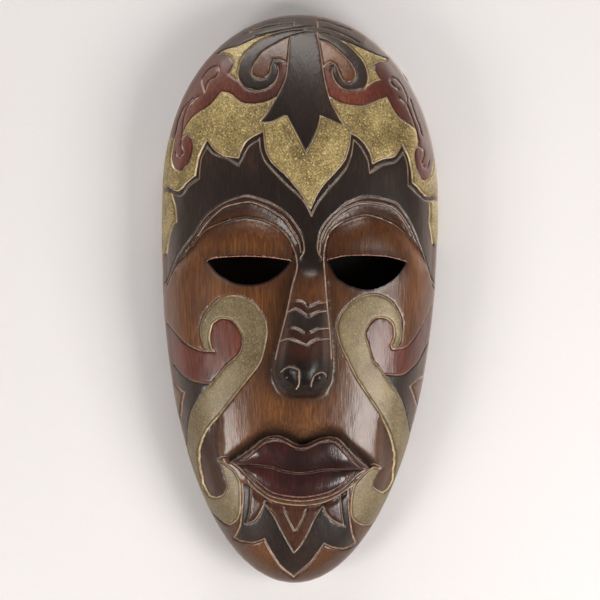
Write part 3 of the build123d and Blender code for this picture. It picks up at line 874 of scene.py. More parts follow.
# %% Mouth
LIP_FULLNESS, LIP_STEP = 7.0, 1.2  # mm
FULL_LIP = 17.0  # width at which a lip reaches its whole fullness
MOAT = 5.0
RIM_STEP, RIM_CUT = 1.6, 2.4  # mm that the lower rim stands, and that the wood falls away under it
to_lips = gap_to(lines["lip_top"], lines["lip_low"])
to_parting = gap_to(lines["parting"])
in_lips = inside(lips, drawn)
share = to_lips / (to_lips + to_parting + TINY)
plump = np.minimum(1, (to_lips + to_parting) / FULL_LIP)
swell = plump * LIP_FULLNESS * (np.sin(np.pi * np.clip(share, 0, 1) ** 0.8) ** 0.8 * 0.55 + 0.45)
lift = ramp(to_lips, 0, 1.2)
form += in_lips * (LIP_STEP + swell * lift) * np.clip(lift + 0.3, 0, 1)
in_moat = inside(moat, drawn)
to_moat = gap_to(moat_edge)
form -= in_moat * MOAT * to_moat / (to_moat + to_lips + TINY)
to_rim = gap_to(lines["lip_rim"])
below = inside(np.vstack([part("lip_low", (-48, 95.3), (48.3, 93)), flip(lines["lip_rim"])]), drawn)
form += RIM_STEP * below
form -= RIM_CUT * bell(to_rim - 2.4, 2.2) * (~below & ~in_lips & (np.abs(face_x) < 42))
print("lips stand", round(form[in_lips].max(), 1), "mm")

# %% [markdown]
# The strokes come last. A cut is a V, half as deep as it is wide. Hand work never runs at one
# depth, so the depth wanders a little along the stroke.

# %% Cuts
CUT_DEPTH = 1.25
CUT_HALF_WIDTH = 1.25
WANDER = 0.22  # share by which a cut's depth comes and goes
TOOL_MARKS = 0.07  # mm
PARED = 0.35  # mm taken off all over, besides each zone's own step
FLATTEN = 14.0  # mm of depth over which the zones' steps fade out towards the sides
LEAST_STEP = 0.15  # share of a step that is left there
EDGE_ROOM = 0.2  # mm kept inside the block's box
form = soften(form, face_tris, 2)
wander = 1 + WANDER * np.sin(face_x * 0.21 + 1.3) * np.sin(face_h * 0.17)
groove = CUT_DEPTH * wander * np.maximum(0, 1 - cut / CUT_HALF_WIDTH)
waves = np.sin(face_x * 0.55 + 1.7 * np.sin(face_h * 0.11)) * np.sin(face_h * 0.19 + face_x * 0.05)
inner = np.maximum(ramp(face_depth, block.side, block.side + FLATTEN), LEAST_STEP)
on_side = np.clip(2 * face_depth / block.side - 0.4, 0, 1)
faded = (to_lid < 3) * ramp(face_h, 202, 190)  # the nose's side lines run out near its tip
carved_off = (sink + PARED) * inner + groove * (1 - faded) + TOOL_MARKS * waves
face_points = surface(*face_flat.T) - normals * (carved_off * on_side)[:, None]
face_points[:, 1] -= form + nose_stand
face_points[:, 1] = np.maximum(face_points[:, 1], block_low.y / MM + EDGE_ROOM)
print("the carved face is", round(-face_points[:, 1].min(), 1), "mm deep")

# %% [markdown]
# ## The back
# Nobody sees the back on a wall, but the block is only a mask because it is hollow. Its inside is
# the second shell, joined to the face through the two eye slots. Between the shells lies the flat
# land that touches the wall, with the pocket that the hanger sits in.

# %% The hollow's mesh
HOLLOW_STEP = 3.4
HOLLOW_EDGE_POINTS = 300
hollow_edge = rim_of(hollow, HOLLOW_EDGE_POINTS)
hollow_eyes = [laid(hollow, lines[name][:-1]) for name in EYES]
hollow_comb = honeycomb(HOLLOW_STEP, hollow_edge.min(axis=0), hollow_edge.max(axis=0))
keep = np.hypot(*hollow_comb.T) < hollow.reach(np.arctan2(*hollow_comb.T[::-1])) + (
    SPREAD * hollow.dome + hollow.side - HOLLOW_STEP / 2)
keep &= distance(tree_of(np.vstack(hollow_eyes)), hollow_comb) > HOLLOW_STEP / 2
for loop in hollow_eyes:
    keep &= ~inside(loop, hollow_comb)
hollow_flat, hollow_tris, hollow_where = triangulate(
    [hollow_edge, *hollow_eyes], [], hollow_comb[keep], hollow_eyes)
hollow_x, hollow_h, hollow_depth = hollow.stand_up(*hollow_flat.T)[:3]
hollow_points = np.column_stack([hollow_x, -hollow_depth, hollow_h])
print(len(hollow_tris), "triangles in the hollow")

# %% The hanger's pocket
POCKET_SIDE, POCKET_END, POCKET_CORNER = 3.6, 7.0, 5.0  # mm of room round the hanger, and the corner
STRAP_TOP = 2.4  # mm from the strap's rolled eye to the hook that it hangs on
_, ring_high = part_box("hanger_ring")
strap_low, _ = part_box("hanger_strap")
pocket_half = ring_high.x / MM + POCKET_SIDE
pocket_high = STRAP_TOP + POCKET_END - chin_z / MM
pocket_low = (strap_low.z - chin_z) / MM - POCKET_END
pocket_floor = strap_low.y / MM


def rounded(half, low, high, corner, steps=6):
    """A rectangle with round corners, anticlockwise from its right side."""
    loop = []
    for k, (cx, cz) in enumerate(((1, 1), (-1, 1), (-1, -1), (1, -1))):
        middle_x, middle_z = cx * (half - corner), (high - corner if cz > 0 else low + corner)
        for i in range(steps + 1):
            turn = math.pi / 2 * (k + i / steps)
            loop.append((middle_x + corner * math.cos(turn), middle_z + corner * math.sin(turn)))
    return np.array(loop)


pocket = rounded(pocket_half, pocket_low, pocket_high, POCKET_CORNER)
pocket_size = [round(size, 1) for size in (2 * pocket_half, pocket_high - pocket_low, -pocket_floor)]
print("pocket", pocket_size, "mm wide, tall and deep")

# %% One closed skin
shells = [face_points, hollow_points]
hollow_first = len(face_points)
pocket_first = hollow_first + len(hollow_points)
floor_first = pocket_first + len(pocket)
shells.append(np.column_stack([pocket[:, 0], np.zeros(len(pocket)), pocket[:, 1]]))
shells.append(np.column_stack([pocket[:, 0], np.full(len(pocket), pocket_floor), pocket[:, 1]]))
shells.append([[0, pocket_floor, (pocket_low + pocket_high) / 2]])
skin = np.vstack(shells)

outer_loop = face_where[:EDGE_POINTS]
mouth_loop = hollow_first + hollow_where[:HOLLOW_EDGE_POINTS]
pocket_loop = pocket_first + np.arange(len(pocket))
floor_loop = floor_first + np.arange(len(pocket))
skin[outer_loop, 1] = 0
skin[mouth_loop, 1] = 0
print(len(skin), "points in the skin")


# %% The land and the walls
def bridge(a, b):
    """Two triangles between each pair of neighbours of two closed loops."""
    a2, b2 = np.roll(a, -1), np.roll(b, -1)
    return np.vstack([np.column_stack([a, a2, b2]), np.column_stack([a, b2, b])])


land_sources = np.concatenate([outer_loop, mouth_loop, pocket_loop])
land_loops = [skin[loop][:, [0, 2]] for loop in (outer_loop, mouth_loop, pocket_loop)]
_, land_tris, land_where = triangulate(land_loops, [], [], land_loops[1:])
back_to_skin = np.zeros(len(land_sources), int)
back_to_skin[land_where] = land_sources
walls = [bridge(pocket_loop, floor_loop)]
start_face, start_hollow = EDGE_POINTS, HOLLOW_EDGE_POINTS
for loop in eye_loops:
    count = len(loop)
    walls.append(bridge(face_where[start_face : start_face + count],
                        hollow_first + hollow_where[start_hollow : start_hollow + count]))
    start_face, start_hollow = start_face + count, start_hollow + count
floor_fan = np.column_stack(
    [floor_loop, np.roll(floor_loop, -1), np.full(len(floor_loop), len(skin) - 1)])
back_tris = np.vstack([hollow_first + hollow_tris, back_to_skin[land_tris], *walls, floor_fan])
all_tris = np.vstack([face_tris, back_tris])
sides = np.sort(np.vstack([all_tris[:, [0, 1]], all_tris[:, [1, 2]], all_tris[:, [2, 0]]]), axis=1)
_, uses = np.unique(sides, axis=0, return_counts=True)
print(len(all_tris), "triangles,", (uses != 2).sum(), "open edges")

# %% [markdown]
# Numbers are kept at every point for the finishes. One says how far the colour is darkened to a
# near-black brown. At both ends of the nose that is dark stain. Under the brows in their scoops, in
# the moat over the mouth, beside the nose and round the eyes it is painted shade, and towards the
# mask's outer edge it is partly dark stain and partly painted shade where the face turns away. The
# strips by the chin and the upper lip's middle are darkened too. Another says how far it is from the
# nearest cut, which places the pale filling and a painted highlight along each lid's edge.

# %% Dark stain and painted shade
EDGE_STAIN_AND_SHADE = 0.7  # the outer edge is darkened all round, partly stain and partly painted shade,
EDGE_DEPTH, EDGE_FADE = 54.0, 20.0  # from this depth in mm back to the wall, over this much
DARK_RIM = 1.6  # mm round each slot that take the lips' dark stain
on_nose = (off < 1) & (face_h > 161) & (face_h < 300)
past_nose = np.abs(face_x - middle) - width / 2
# Painted shade beside the nose, reaching 24 mm out on its left side and 12 mm on its right.
beside_nose = (off >= 1) * np.clip(1 - past_nose / np.where(face_x < 0, 24, 12), 0, 1)
dark_places = {
    # painted shade under each brow's rolled edge, fading towards the lid line
    "brow scoops": in_cove * (0.85 - 0.75 * down_cove),
    "strips by the chin": 0.5 * np.any([inside(strip, drawn) for strip in strips], axis=0),
    # painted shade in the moat, darkest next to the lips
    "moat": 0.9 * in_moat * ramp(to_lips, 13.5, 4.5),
    "nose tip": on_nose * ramp(face_h, 206, 190),
    "nose root": on_nose * ramp(face_h, 262, 280),
    # painted shade beside the nose
    "nose sides": 0.6 * beside_nose * ramp(face_h, 160, 168) * ramp(face_h, 282, 262),
    # painted shade round the eyes
    "eye rims": 0.45 * bell(eye_gap, 7),
    # partly dark stain, partly painted shade where the face turns away
    "outer edge": EDGE_STAIN_AND_SHADE * ramp(face_depth, EDGE_DEPTH, EDGE_DEPTH - EDGE_FADE),
    "upper lip's middle": 0.7 * in_lips * bell(np.hypot((face_x - 2) / 15, (face_h - 108) / 11), 1),
}
for place, amount in dark_places.items():
    print(place, round(100 * (amount > 0.3).mean(), 1), "% of the points")
stain_and_shade = soften(np.max(list(dark_places.values()), axis=0), face_tris, 3)
face_finish[eye_gap[face_tris].mean(axis=1) < DARK_RIM] = finish_names.index("lips")

# %% Filler, painted lid highlights and scoops
FAR = 9.0  # mm from a cut, beyond which the finish no longer changes
UNFILLED = 0.55  # mm; the line between the lips gets little filler
LID_HIGHLIGHT = 1.6  # mm of each lid's edge over the slot that gets a painted highlight in the filler's pale colour
SCOOP_FREE = 6.0  # mm from the hollow's edges to where the gouge marks are at their full depth
to_edge = gap_to(part("eye_left", (-81.5, 283), (-8, 283)), part("eye_right", (24.2, 283.5), (93.8, 281.8)))
pale_line_gap = np.where(to_parting < 2, np.maximum(cut, UNFILLED), cut)
pale_line_gap[faded > 0.5] = FAR
# Painted highlight along each lid's edge over the slot, drawn as if the edge were a half-filled cut.
pale_line_gap = np.where(to_edge < LID_HIGHLIGHT, np.minimum(pale_line_gap, UNFILLED * to_edge / LID_HIGHLIGHT), pale_line_gap)
from_edges = distance(tree_of(np.vstack([hollow_edge, *hollow_eyes])), hollow_flat)
scoops = np.zeros(len(skin))
scoops[hollow_first:pocket_first] = ramp(from_edges, 0, SCOOP_FREE)
print(round(100 * (pale_line_gap < UNFILLED).mean(), 1), "% of the points lie in the filler")

# %% The mesh
SHARP = math.radians(55)  # edges sharper than this stay crisp
mesh = bpy.data.meshes.new("carved_mask")
scaled = skin * MM
scaled[:, 2] += chin_z
mesh.from_pydata(scaled.tolist(), [], all_tris.tolist())
back_mark = np.r_[np.zeros(len(face_tris), bool), np.ones(len(back_tris), bool)]
extra = len(skin) - len(face_flat)
for name, kind, place, values in (
    # distance to the nearest cut, and to each lid's painted highlight
    ("cut", "FLOAT", "POINT", np.r_[np.minimum(pale_line_gap, FAR), np.full(extra, FAR)]),
    ("stain_and_shade", "FLOAT", "POINT", np.r_[stain_and_shade, np.zeros(extra)]),
    ("scoop", "FLOAT", "POINT", scoops),
    ("back", "BOOLEAN", "FACE", back_mark),
):
    mesh.attributes.new(name, kind, place).data.foreach_set("value", values)
mesh.polygons.foreach_set("material_index", np.r_[face_finish, np.zeros(len(back_tris), int)])

shape = bmesh.new()
shape.from_mesh(mesh)
bmesh.ops.recalc_face_normals(shape, faces=shape.faces)
shape.to_mesh(mesh)
print("volume", round(shape.calc_volume() * 1e6), "cm3 in mesh")
shape.free()
mesh.polygons.foreach_set("use_smooth", np.ones(len(mesh.polygons), bool))
mesh.set_sharp_from_angle(angle=SHARP)
rough_mask = bpy.data.objects.new("rough_mask", mesh)
bpy.context.scene.collection.objects.link(rough_mask)

# %% [markdown]
# ## Finishes
# Every colour is written as the hex value that a paint chart would give and turned to linear
# light by one function. One more function adds a shader node with its settings and its links.

# %% Helpers for materials
def linear(hex_value):
    """An sRGB hex colour as the linear colour that a shader takes."""
    parts = [int(hex_value[i : i + 2], 16) / 255 for i in (0, 2, 4)]
    return (*[c / 12.92 if c <= 0.04045 else ((c + 0.055) / 1.055) ** 2.4 for c in parts], 1.0)


def add(tree, kind, inputs=None, **settings):
    """Adds a node; an input may be a value, a socket, or a node that gives its first live output."""
    made = tree.nodes.new(kind)
    for name, value in settings.items():
        setattr(made, name, value)
    for key, value in (inputs or {}).items():
        if isinstance(value, bpy.types.Node):
            value = next(out for out in value.outputs if out.enabled)
        if isinstance(value, bpy.types.NodeSocket):
            tree.links.new(value, made.inputs[key])
        else:
            made.inputs[key].default_value = value
    return made


def material(name):
    """A new material, with only its output."""
    made = bpy.data.materials.new(name)
    made.use_nodes = True
    made.node_tree.nodes.clear()
    return made, made.node_tree


def finish(tree, inputs):
    """Ends a tree with its surface."""
    surface_shader = add(tree, "ShaderNodeBsdfPrincipled", inputs)
    return add(tree, "ShaderNodeOutputMaterial", {"Surface": surface_shader})


def tones(tree, value, low, high, *colors):
    """Colours in equal steps as a value climbs from low to high."""
    climb = add(tree, "ShaderNodeMapRange", {0: value, 1: low, 2: high})
    made = add(tree, "ShaderNodeValToRGB", {0: climb})
    elements = made.color_ramp.elements
    while len(elements) < len(colors):
        elements.new(0.5)
    for i, color in enumerate(colors):
        elements[i].position, elements[i].color = i / (len(colors) - 1), linear(color)
    return made


# %% [markdown]
# The wood is a soft tropical hardwood. Its grain runs up the block as streaks about a millimetre
# wide and a few centimetres long, and open pores show as short dark dashes. Real pores are about
# 0.2 mm wide, which is too fine to see from here, so they are drawn at 0.9 mm.

# %% Grain
GRAIN_WIDTH = 0.7 * MM
PORE_WIDTH = 0.8 * MM
CLOUD = 30 * MM  # the size of the light and dark patches that a rag leaves in the stain
STRETCH_GRAIN, STRETCH_PORE = 0.05, 0.11


def streaks(tree, width, stretch, detail=3.0, seed=0.0):
    """Noise drawn out along the block's height, as wide as the width given."""
    place = add(tree, "ShaderNodeTexCoord").outputs["Object"]
    drawn_out = add(tree, "ShaderNodeMapping", {0: place, 1: (seed, seed, seed), 3: (1, 1, stretch)})
    return add(tree, "ShaderNodeTexNoise",
               {"Vector": drawn_out, "Scale": 0.5 / width, "Detail": detail, "Roughness": 0.6})


# %% [markdown]
# Pale lime filler is rubbed into the cuts and wiped off the face. It stays at the bottom of each
# cut, thinner here and there. Beside the cut the finish is a little darker: partly stain that pooled
# there, partly painted shade along the groove's edge.

# %% Filled cuts
LIME_EDGE = (0.3, 0.8)  # mm from the bottom of a cut, where the filler starts to thin and ends
DARK_EDGE = (0.8, 2.4)
POOLED_STAIN_AND_SHADE = 0.6  # how much of the darker colour shows beside a cut: pooled stain and painted shade


def lime_cuts(tree, color, pooled_stain_and_shade_color, lime, pale):
    """Darkens beside the cuts with pooled stain and painted shade, fills the cuts over a colour, and returns
    the new colour and where the filler lies. The filler also draws the painted highlight on each lid's edge.
    """
    gap = add(tree, "ShaderNodeAttribute", attribute_name="cut").outputs["Fac"]
    beside_cut = add(tree, "ShaderNodeMapRange",
                     {0: gap, 1: DARK_EDGE[0], 2: DARK_EDGE[1], 3: POOLED_STAIN_AND_SHADE, 4: 0.0})
    color = add(tree, "ShaderNodeMix", {0: beside_cut, 6: color, 7: linear(pooled_stain_and_shade_color)}, data_type="RGBA")
    in_cut = add(tree, "ShaderNodeMapRange", {0: gap, 1: LIME_EDGE[0], 2: LIME_EDGE[1], 3: 1.0, 4: 0.0})
    thin = add(tree, "ShaderNodeMapRange",
               {0: streaks(tree, 4 * MM, 0.7, seed=1.9), 1: 0.3, 2: 0.5, 3: 0.55, 4: 1.0})
    filled = add(tree, "ShaderNodeMath", {0: in_cut, 1: thin}, operation="MULTIPLY")
    filler = tones(tree, streaks(tree, 1.5 * MM, 0.5, seed=6.2), 0.35, 0.65, lime, pale)
    return add(tree, "ShaderNodeMix", {0: filled, 6: color, 7: filler}, data_type="RGBA"), filled


# %% [markdown]
# A stained zone is built as the finisher works: the stain darkens the pores and clouds a little
# where the rag passed, dark stain and painted shade darken it further, the cuts are limed, and a
# clear varnish covers all. The varnish is glossy and thin, so light boxes show in it as soft pale
# shapes. Where the dark stain and painted shade are thickest the varnish is thinner and matt, and
# old wax shows as a pale bloom where the face turns away.

# %% A stained and varnished zone
# Near-black brown of the dark stain and the painted shade, also used beside the cuts.
STAIN_AND_SHADE_COLOR = "0A0503"
WOOD_TONES = (0.64, 1.36)  # what grain and clouds add up to in the darkest and in the palest wood
PORE_START, PORE_FULL, PORE_DARK = 0.60, 0.70, 0.5
RUBBED, ROUGH_LEFT = 0.42, 0.58  # roughness under the varnish, where the rag pressed and where not
FILLER_ROUGH = 0.3  # added where the filler lies
MATT_SHARE = 0.35  # of the varnish, where the dark stain and painted shade are thickest
WAX_TINT = "FFDCC8"


def stained(name, dark, body, light, lime="7E6252", pale="A08878", gloss=0.28, coat=0.9, wax=0.25):
    made, tree = material(name)
    grain = streaks(tree, GRAIN_WIDTH, STRETCH_GRAIN)
    pores = streaks(tree, PORE_WIDTH, STRETCH_PORE, detail=1.0, seed=3.7)
    clouds = streaks(tree, CLOUD, 0.6, detail=2.0, seed=8.1)
    tone = add(tree, "ShaderNodeMath", {0: grain, 1: clouds}, operation="ADD")
    color = tones(tree, tone, *WOOD_TONES, dark, body, light)
    pored = add(tree, "ShaderNodeMapRange",
                {0: pores, 1: PORE_START, 2: PORE_FULL, 3: 0.0, 4: PORE_DARK})
    color = add(tree, "ShaderNodeMix", {0: pored, 6: color, 7: linear(dark)}, data_type="RGBA")
    # How far the colour is darkened by dark stain and painted shade.
    stain_and_shade_amount = add(tree, "ShaderNodeAttribute", attribute_name="stain_and_shade").outputs["Fac"]
    color = add(tree, "ShaderNodeMix", {0: stain_and_shade_amount, 6: color, 7: linear(STAIN_AND_SHADE_COLOR)}, data_type="RGBA")
    color, filled = lime_cuts(tree, color, STAIN_AND_SHADE_COLOR, lime, pale)
    rubbed = add(tree, "ShaderNodeMapRange", {0: clouds, 1: 0.35, 2: 0.65, 3: RUBBED, 4: ROUGH_LEFT})
    rough = add(tree, "ShaderNodeMath", {0: filled, 1: FILLER_ROUGH, 2: rubbed}, operation="MULTIPLY_ADD")
    varnish = add(tree, "ShaderNodeMapRange", {0: stain_and_shade_amount, 1: 0.0, 2: 1.0, 3: coat, 4: MATT_SHARE * coat})
    raised = add(tree, "ShaderNodeMath", {0: pores, 1: grain}, operation="SUBTRACT")
    bump = add(tree, "ShaderNodeBump", {"Height": raised, "Distance": 0.2 * MM, "Strength": 0.5})
    finish(tree, {"Base Color": color, "Roughness": rough, "Specular IOR Level": 0.15, "Normal": bump,
                  "Coat Weight": varnish, "Coat Roughness": gloss, "Coat IOR": 1.5, "Coat Normal": bump,
                  "Sheen Weight": wax, "Sheen Roughness": 0.45, "Sheen Tint": linear(WAX_TINT)})
    return made


# %% [markdown]
# Bronze powder in a clear binder dries to a coat of tiny flakes. Some catch the light, some face
# away; the ones that catch it are painted in as bright glints, and the dark stain shows through where
# the brush ran dry.

# %% Bronze paint
FLAKE = 0.8 * MM  # real flakes are far smaller, so they are drawn at a size that shows
PATCH = 12 * MM  # thick and thin places in the paint
BRUSH_MARK = 1.2 * MM
METAL_SHARE = 0.3  # most of the coat is binder


def bronzed(name, under, deep, body, bright, spark, lime="A89068", pale="CDB98E"):
    made, tree = material(name)
    place = add(tree, "ShaderNodeTexCoord").outputs["Object"]
    flakes = add(tree, "ShaderNodeTexNoise",
                 {"Vector": place, "Scale": 0.5 / FLAKE, "Detail": 4.0, "Roughness": 0.75})
    patches = add(tree, "ShaderNodeTexNoise", {"Vector": place, "Scale": 0.5 / PATCH, "Detail": 3.0})
    tone = add(tree, "ShaderNodeMath", {0: patches, 1: 0.5, 2: flakes}, operation="MULTIPLY_ADD")
    color = tones(tree, tone, 0.46, 0.98, under, deep, body, bright)
    # Painted glints: the brightest flakes take the spark colour, as if they caught the light.
    lit = add(tree, "ShaderNodeMapRange", {0: flakes, 1: 0.60, 2: 0.68, 3: 0.0, 4: 0.9})
    color = add(tree, "ShaderNodeMix", {0: lit, 6: color, 7: linear(spark)}, data_type="RGBA")
    bristles = streaks(tree, BRUSH_MARK, 0.2, detail=2.0, seed=5.0)
    brushed = add(tree, "ShaderNodeMapRange", {0: bristles, 1: 0.6, 2: 0.7, 3: 0.0, 4: 0.35})
    color = add(tree, "ShaderNodeMix", {0: brushed, 6: color, 7: linear(deep)}, data_type="RGBA")
    # The under colour also darkens the paint beside each cut, as pooled stain and painted shade.
    color, _ = lime_cuts(tree, color, under, lime, pale)
    rough = add(tree, "ShaderNodeMapRange", {0: flakes, 1: 0.3, 2: 0.7, 3: 0.42, 4: 0.62})
    bump = add(tree, "ShaderNodeBump", {"Height": flakes, "Distance": 0.2 * MM, "Strength": 0.5})
    finish(tree, {"Base Color": color, "Roughness": rough, "Metallic": METAL_SHARE, "Normal": bump,
                  "Coat Weight": 0.25, "Coat Roughness": 0.3})
    return made


# %% The seven finishes of the face
finishes = [
    # rubbed back, so that the grain shows as warm streaks under deep gloss
    stained("tobacco_stain_varnished", "2A1104", "4B2809", "714519"),
    # dense stain that hides the grain, less varnish and more wax, so it is greyer and softer
    stained("black_stain_varnished", "060202", "140A06", "321E12", lime="74604F", pale="958272",
            coat=0.6, wax=0.4),
    # red over brown, so it only looks red where light falls on it
    stained("oxblood_stain_varnished", "260A04", "47180B", "6A3019", lime="7A5646", pale="9C7C6A"),
    # two coats of brown, for the shaded places round the brows, the nose and the chin
    stained("umber_stain_varnished", "180702", "331405", "50290C", wax=0.12),
    # the darkest red and the shiniest varnish, so the lips look wet
    stained("lip_stain_varnished", "0F0202", "260705", "3C120A", lime="70483A", pale="967060",
            gloss=0.22, wax=0.05),
    # thick paint with sparks of metal over patches of dark stain
    bronzed("bronze_powder_paint", "2E2410", "5E4E2C", "8E7C50", "B5A36E", "E6D890"),
    # the same paint thinned, so it is greyer and more even
    bronzed("thinned_bronze_paint", "3A2E1C", "564830", "6C5F44", "817455", "A0925F"),
]
for made in finishes:
    mesh.materials.append(made)
print([made.name for made in finishes])

# %% [markdown]
# ## Gouge marks in the hollow
# The hollow is cleared with a round gouge, which leaves broad shallow scoops, about as wide as
# the tool and two or three times as long. This repeats over a surface, so a small node tree does
# it: a cell pattern pushes every point of the hollow into the wood, deepest in each cell's middle.

# %% The gouge tree
gouge = bpy.data.node_groups.new("gouge_marks", "GeometryNodeTree")
gouge.is_modifier = True
named = {}
for name, way, kind in (
    ("Mask", "INPUT", "NodeSocketGeometry"), ("Gouge width", "INPUT", "NodeSocketFloat"),
    ("Gouge depth", "INPUT", "NodeSocketFloat"), ("Back finish", "INPUT", "NodeSocketMaterial"),
    ("Carved", "OUTPUT", "NodeSocketGeometry"),
):
    named[name] = gouge.interface.new_socket(name, in_out=way, socket_type=kind).identifier

given = add(gouge, "NodeGroupInput")
scoop = add(gouge, "GeometryNodeInputNamedAttribute", {"Name": "scoop"}, data_type="FLOAT")
is_back = add(gouge, "GeometryNodeInputNamedAttribute", {"Name": "back"}, data_type="BOOLEAN")
position = add(gouge, "GeometryNodeInputPosition")
normal = add(gouge, "GeometryNodeInputNormal")
SQUEEZE = (1.0, 0.6, 0.4)  # of the pattern, so that the scoops come out longer up the block
squeezed = add(gouge, "ShaderNodeVectorMath", {0: position.outputs[0], 1: SQUEEZE}, operation="MULTIPLY")
per_metre = add(gouge, "ShaderNodeMath", {0: 1.0, 1: given.outputs["Gouge width"]}, operation="DIVIDE")
cells = add(gouge, "ShaderNodeTexVoronoi",
            {"Vector": squeezed.outputs[0], "Scale": per_metre.outputs[0], "Randomness": 0.75})
hollowed = add(gouge, "ShaderNodeMath", {0: cells.outputs["Distance"], 1: 1.0}, operation="SUBTRACT")
deep = add(gouge, "ShaderNodeMath",
           {0: hollowed.outputs[0], 1: given.outputs["Gouge depth"]}, operation="MULTIPLY")
masked = add(gouge, "ShaderNodeMath", {0: deep.outputs[0], 1: scoop.outputs[0]}, operation="MULTIPLY")
push = add(gouge, "ShaderNodeVectorMath",
           {0: normal.outputs[0], "Scale": masked.outputs[0]}, operation="SCALE")
moved = add(gouge, "GeometryNodeSetPosition", {"Geometry": given.outputs["Mask"], "Offset": push.outputs[0]})
realized = add(gouge, "GeometryNodeRealizeInstances", {0: moved.outputs[0]})
painted = add(gouge, "GeometryNodeSetMaterial",
              {"Geometry": realized.outputs[0], "Selection": is_back.outputs[0],
               "Material": given.outputs["Back finish"]})
add(gouge, "NodeGroupOutput", {0: painted.outputs[0]})
print(len(gouge.nodes), "nodes in the gouge tree")


# %% [markdown]
# The back is left from the gouge and only brushed with thin brown stain. It has no varnish, so it
# is dull, and its grain stands out in paler and darker streaks.

# %% The back's finish
def brushed_back(name):
    made, tree = material(name)
    grain = streaks(tree, GRAIN_WIDTH, STRETCH_GRAIN)
    clouds = streaks(tree, CLOUD, 0.6, seed=4.4)
    tone = add(tree, "ShaderNodeMath", {0: grain, 1: clouds}, operation="ADD")
    color = tones(tree, tone, 0.5, 1.5, "2A1A0E", "553A24", "8A6848")
    bump = add(tree, "ShaderNodeBump", {"Height": grain, "Distance": 0.4 * MM, "Strength": 0.6})
    finish(tree, {"Base Color": color, "Roughness": 0.72, "Normal": bump})
    return made


back_finish = brushed_back("gouged_wood_brown_stain")

# %% Carve the hollow
GOUGE_WIDTH, GOUGE_DEPTH = 17 * MM, 4.2 * MM
carving = rough_mask.modifiers.new("gouge", "NODES")
carving.node_group = gouge
carving[named["Gouge width"]] = GOUGE_WIDTH
carving[named["Gouge depth"]] = GOUGE_DEPTH
carving[named["Back finish"]] = back_finish
graph = bpy.context.evaluated_depsgraph_get()
carved = bpy.data.meshes.new_from_object(
    rough_mask.evaluated_get(graph), preserve_all_data_layers=True, depsgraph=graph)
carved.name = "carved_mask"
before, after = (np.array([corner.co for corner in data.vertices]) for data in (rough_mask.data, carved))
print("gouged up to", round(np.linalg.norm(after - before, axis=1).max() / MM, 2), "mm deep")
bpy.data.objects.remove(rough_mask)
carved_mask = bpy.data.objects.new("carved_mask", carved)
bpy.context.scene.collection.objects.link(carved_mask)
print(len(carved.polygons), "triangles,", len(carved.materials), "finishes")

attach(carved_mask, "mask")
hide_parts("mask_body")


# %% [markdown]
# ## The hanger's metals
# The strap is punched from zinc-plated sheet and has a dull, slightly blue, cloudy coat. The ring
# is nickel-plated wire, brighter and warmer, and the screw is zinc like the strap but tumbled, so
# its edges are rubbed bright. Metals keep their default IOR.

# %% Plated steel
def plated(name, dull, bright, roughness, cloud_size):
    made, tree = material(name)
    place = add(tree, "ShaderNodeTexCoord").outputs["Object"]
    clouds = add(tree, "ShaderNodeTexNoise", {"Vector": place, "Scale": 0.5 / cloud_size, "Detail": 4.0})
    color = tones(tree, clouds, 0.3, 0.7, dull, bright)
    rough = add(tree, "ShaderNodeMapRange", {0: clouds, 1: 0.3, 2: 0.7, 3: roughness + 0.08, 4: roughness})
    scratches = streaks(tree, 0.25 * MM, 0.1, detail=2.0)
    bump = add(tree, "ShaderNodeBump", {"Height": scratches, "Distance": 0.02 * MM, "Strength": 0.4})
    finish(tree, {"Base Color": color, "Roughness": rough, "Metallic": 1.0, "Normal": bump})
    return made


metals = {
    "hanger_strap": plated("zinc_plated_sheet", "9BA0A4", "C6CACC", 0.34, 2.5 * MM),
    "hanger_ring": plated("nickel_plated_wire", "B5B0A4", "DEDACE", 0.18, 4 * MM),
    "hanger_screw": plated("tumbled_zinc_screw", "8E9396", "CDD0D0", 0.28, 1.5 * MM),
}
for node, metal in metals.items():
    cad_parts[node].data.materials.clear()
    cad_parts[node].data.materials.append(metal)
print(list(metals))


# %% [markdown]
# ## The studio
# The mask hangs on a plain pale wall over a pale floor. The wall shows from the front only, so that
# a look at the back isn't blocked. Behind the slots a real wall lies in the mask's own shadow, and
# a black one-sided card stands in for that shadow.

# %% Wall, floor and card
def plain(name, hex_value, one_sided=False):
    made, tree = material(name)
    output = finish(tree, {"Base Color": linear(hex_value), "Roughness": 0.9})
    if one_sided:
        front = output.inputs["Surface"].links[0].from_socket
        behind = add(tree, "ShaderNodeNewGeometry").outputs["Backfacing"]
        clear = add(tree, "ShaderNodeBsdfTransparent")
        seen = add(tree, "ShaderNodeMixShader", {0: behind, 1: front, 2: clear})
        tree.links.new(seen.outputs[0], output.inputs["Surface"])
    return made


def panel(name, corners, look):
    """A flat four-sided piece of the studio."""
    data = bpy.data.meshes.new(name)
    data.from_pydata(corners, [], [(0, 1, 2, 3)])
    data.materials.append(look)
    made = bpy.data.objects.new(name, data)
    bpy.context.scene.collection.objects.link(made)
    return made


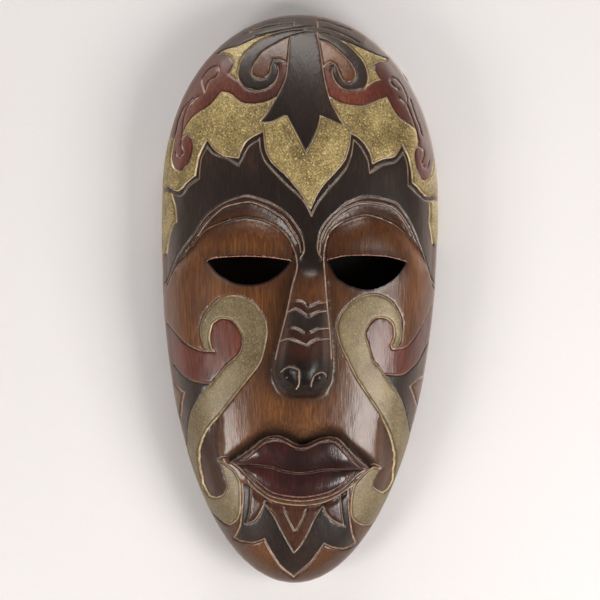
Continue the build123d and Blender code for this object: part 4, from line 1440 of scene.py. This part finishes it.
WALL_GAP = 0.002  # metres, as all sizes of the studio are
FLOOR_DROP = 0.9  # the floor lies this far under the chin
ROOM = 3.0  # how far the wall and the floor run
CARD_Y, CARD_HALF = -0.03, 0.092
CARD_REACH = (235, 310)  # mm above the chin, past both slots
floor_z = chin_z - FLOOR_DROP
wall_finish = plain("studio_wall", "C4C3C5", one_sided=True)
wall = panel("studio_wall", [(-ROOM, WALL_GAP, floor_z), (ROOM, WALL_GAP, floor_z),
                             (ROOM, WALL_GAP, ROOM), (-ROOM, WALL_GAP, ROOM)], wall_finish)
floor = panel("studio_floor", [(-ROOM, -ROOM, floor_z), (ROOM, -ROOM, floor_z),
                               (ROOM, WALL_GAP, floor_z), (-ROOM, WALL_GAP, floor_z)],
              plain("studio_floor", "EFECEA"))
card_low, card_high = (chin_z + h * MM for h in CARD_REACH)
card = panel("shadow_card", [(-CARD_HALF, CARD_Y, card_low), (CARD_HALF, CARD_Y, card_low),
                             (CARD_HALF, CARD_Y, card_high), (-CARD_HALF, CARD_Y, card_high)],
             plain("shadow_card", "020202", one_sided=True))
for piece in (wall, card):
    piece.visible_shadow = False
floor.visible_glossy = False  # or the floor would show in the varnish of the chin
print("floor", round(-floor_z, 2), "m below the hook")


# %% [markdown]
# Two soft boxes stand to the left and right in front, lower than the chin, and give the pale
# reflections on the cheeks and along the sides. A wide one above lights the crown, and one behind
# is only there for looks at the back.

# %% Lights
BOX_COLOR = "FFFAF5"
ROOM_COLOR, ROOM_LIGHT = "F2F0EE", 0.1


def soft_box(name, place, wide, tall, power, aim=(0, -0.05, -0.22)):
    data = bpy.data.lights.new(name, "AREA")
    data.shape, data.size, data.size_y, data.energy = "RECTANGLE", wide, tall, power
    data.color = linear(BOX_COLOR)[:3]
    made = bpy.data.objects.new(name, data)
    made.location = place
    made.rotation_euler = (Vector(aim) - Vector(place)).to_track_quat("-Z", "Y").to_euler()
    bpy.context.scene.collection.objects.link(made)


soft_box("left_box", (-1.15, -1.05, -0.95), 0.6, 0.6, 17)
soft_box("right_box", (1.1, -1.1, -0.8), 0.8, 0.9, 29)
soft_box("top_box", (-0.35, -0.45, 1.4), 2.4, 0.9, 44)
soft_box("back_box", (1.1, 1.2, 0.7), 1.0, 1.0, 34)
world = bpy.data.worlds.new("studio")
world.use_nodes = True
world.node_tree.nodes["Background"].inputs["Color"].default_value = linear(ROOM_COLOR)
world.node_tree.nodes["Background"].inputs["Strength"].default_value = ROOM_LIGHT
bpy.context.scene.world = world
bpy.context.scene.view_settings.view_transform = "Standard"
print("studio lit")
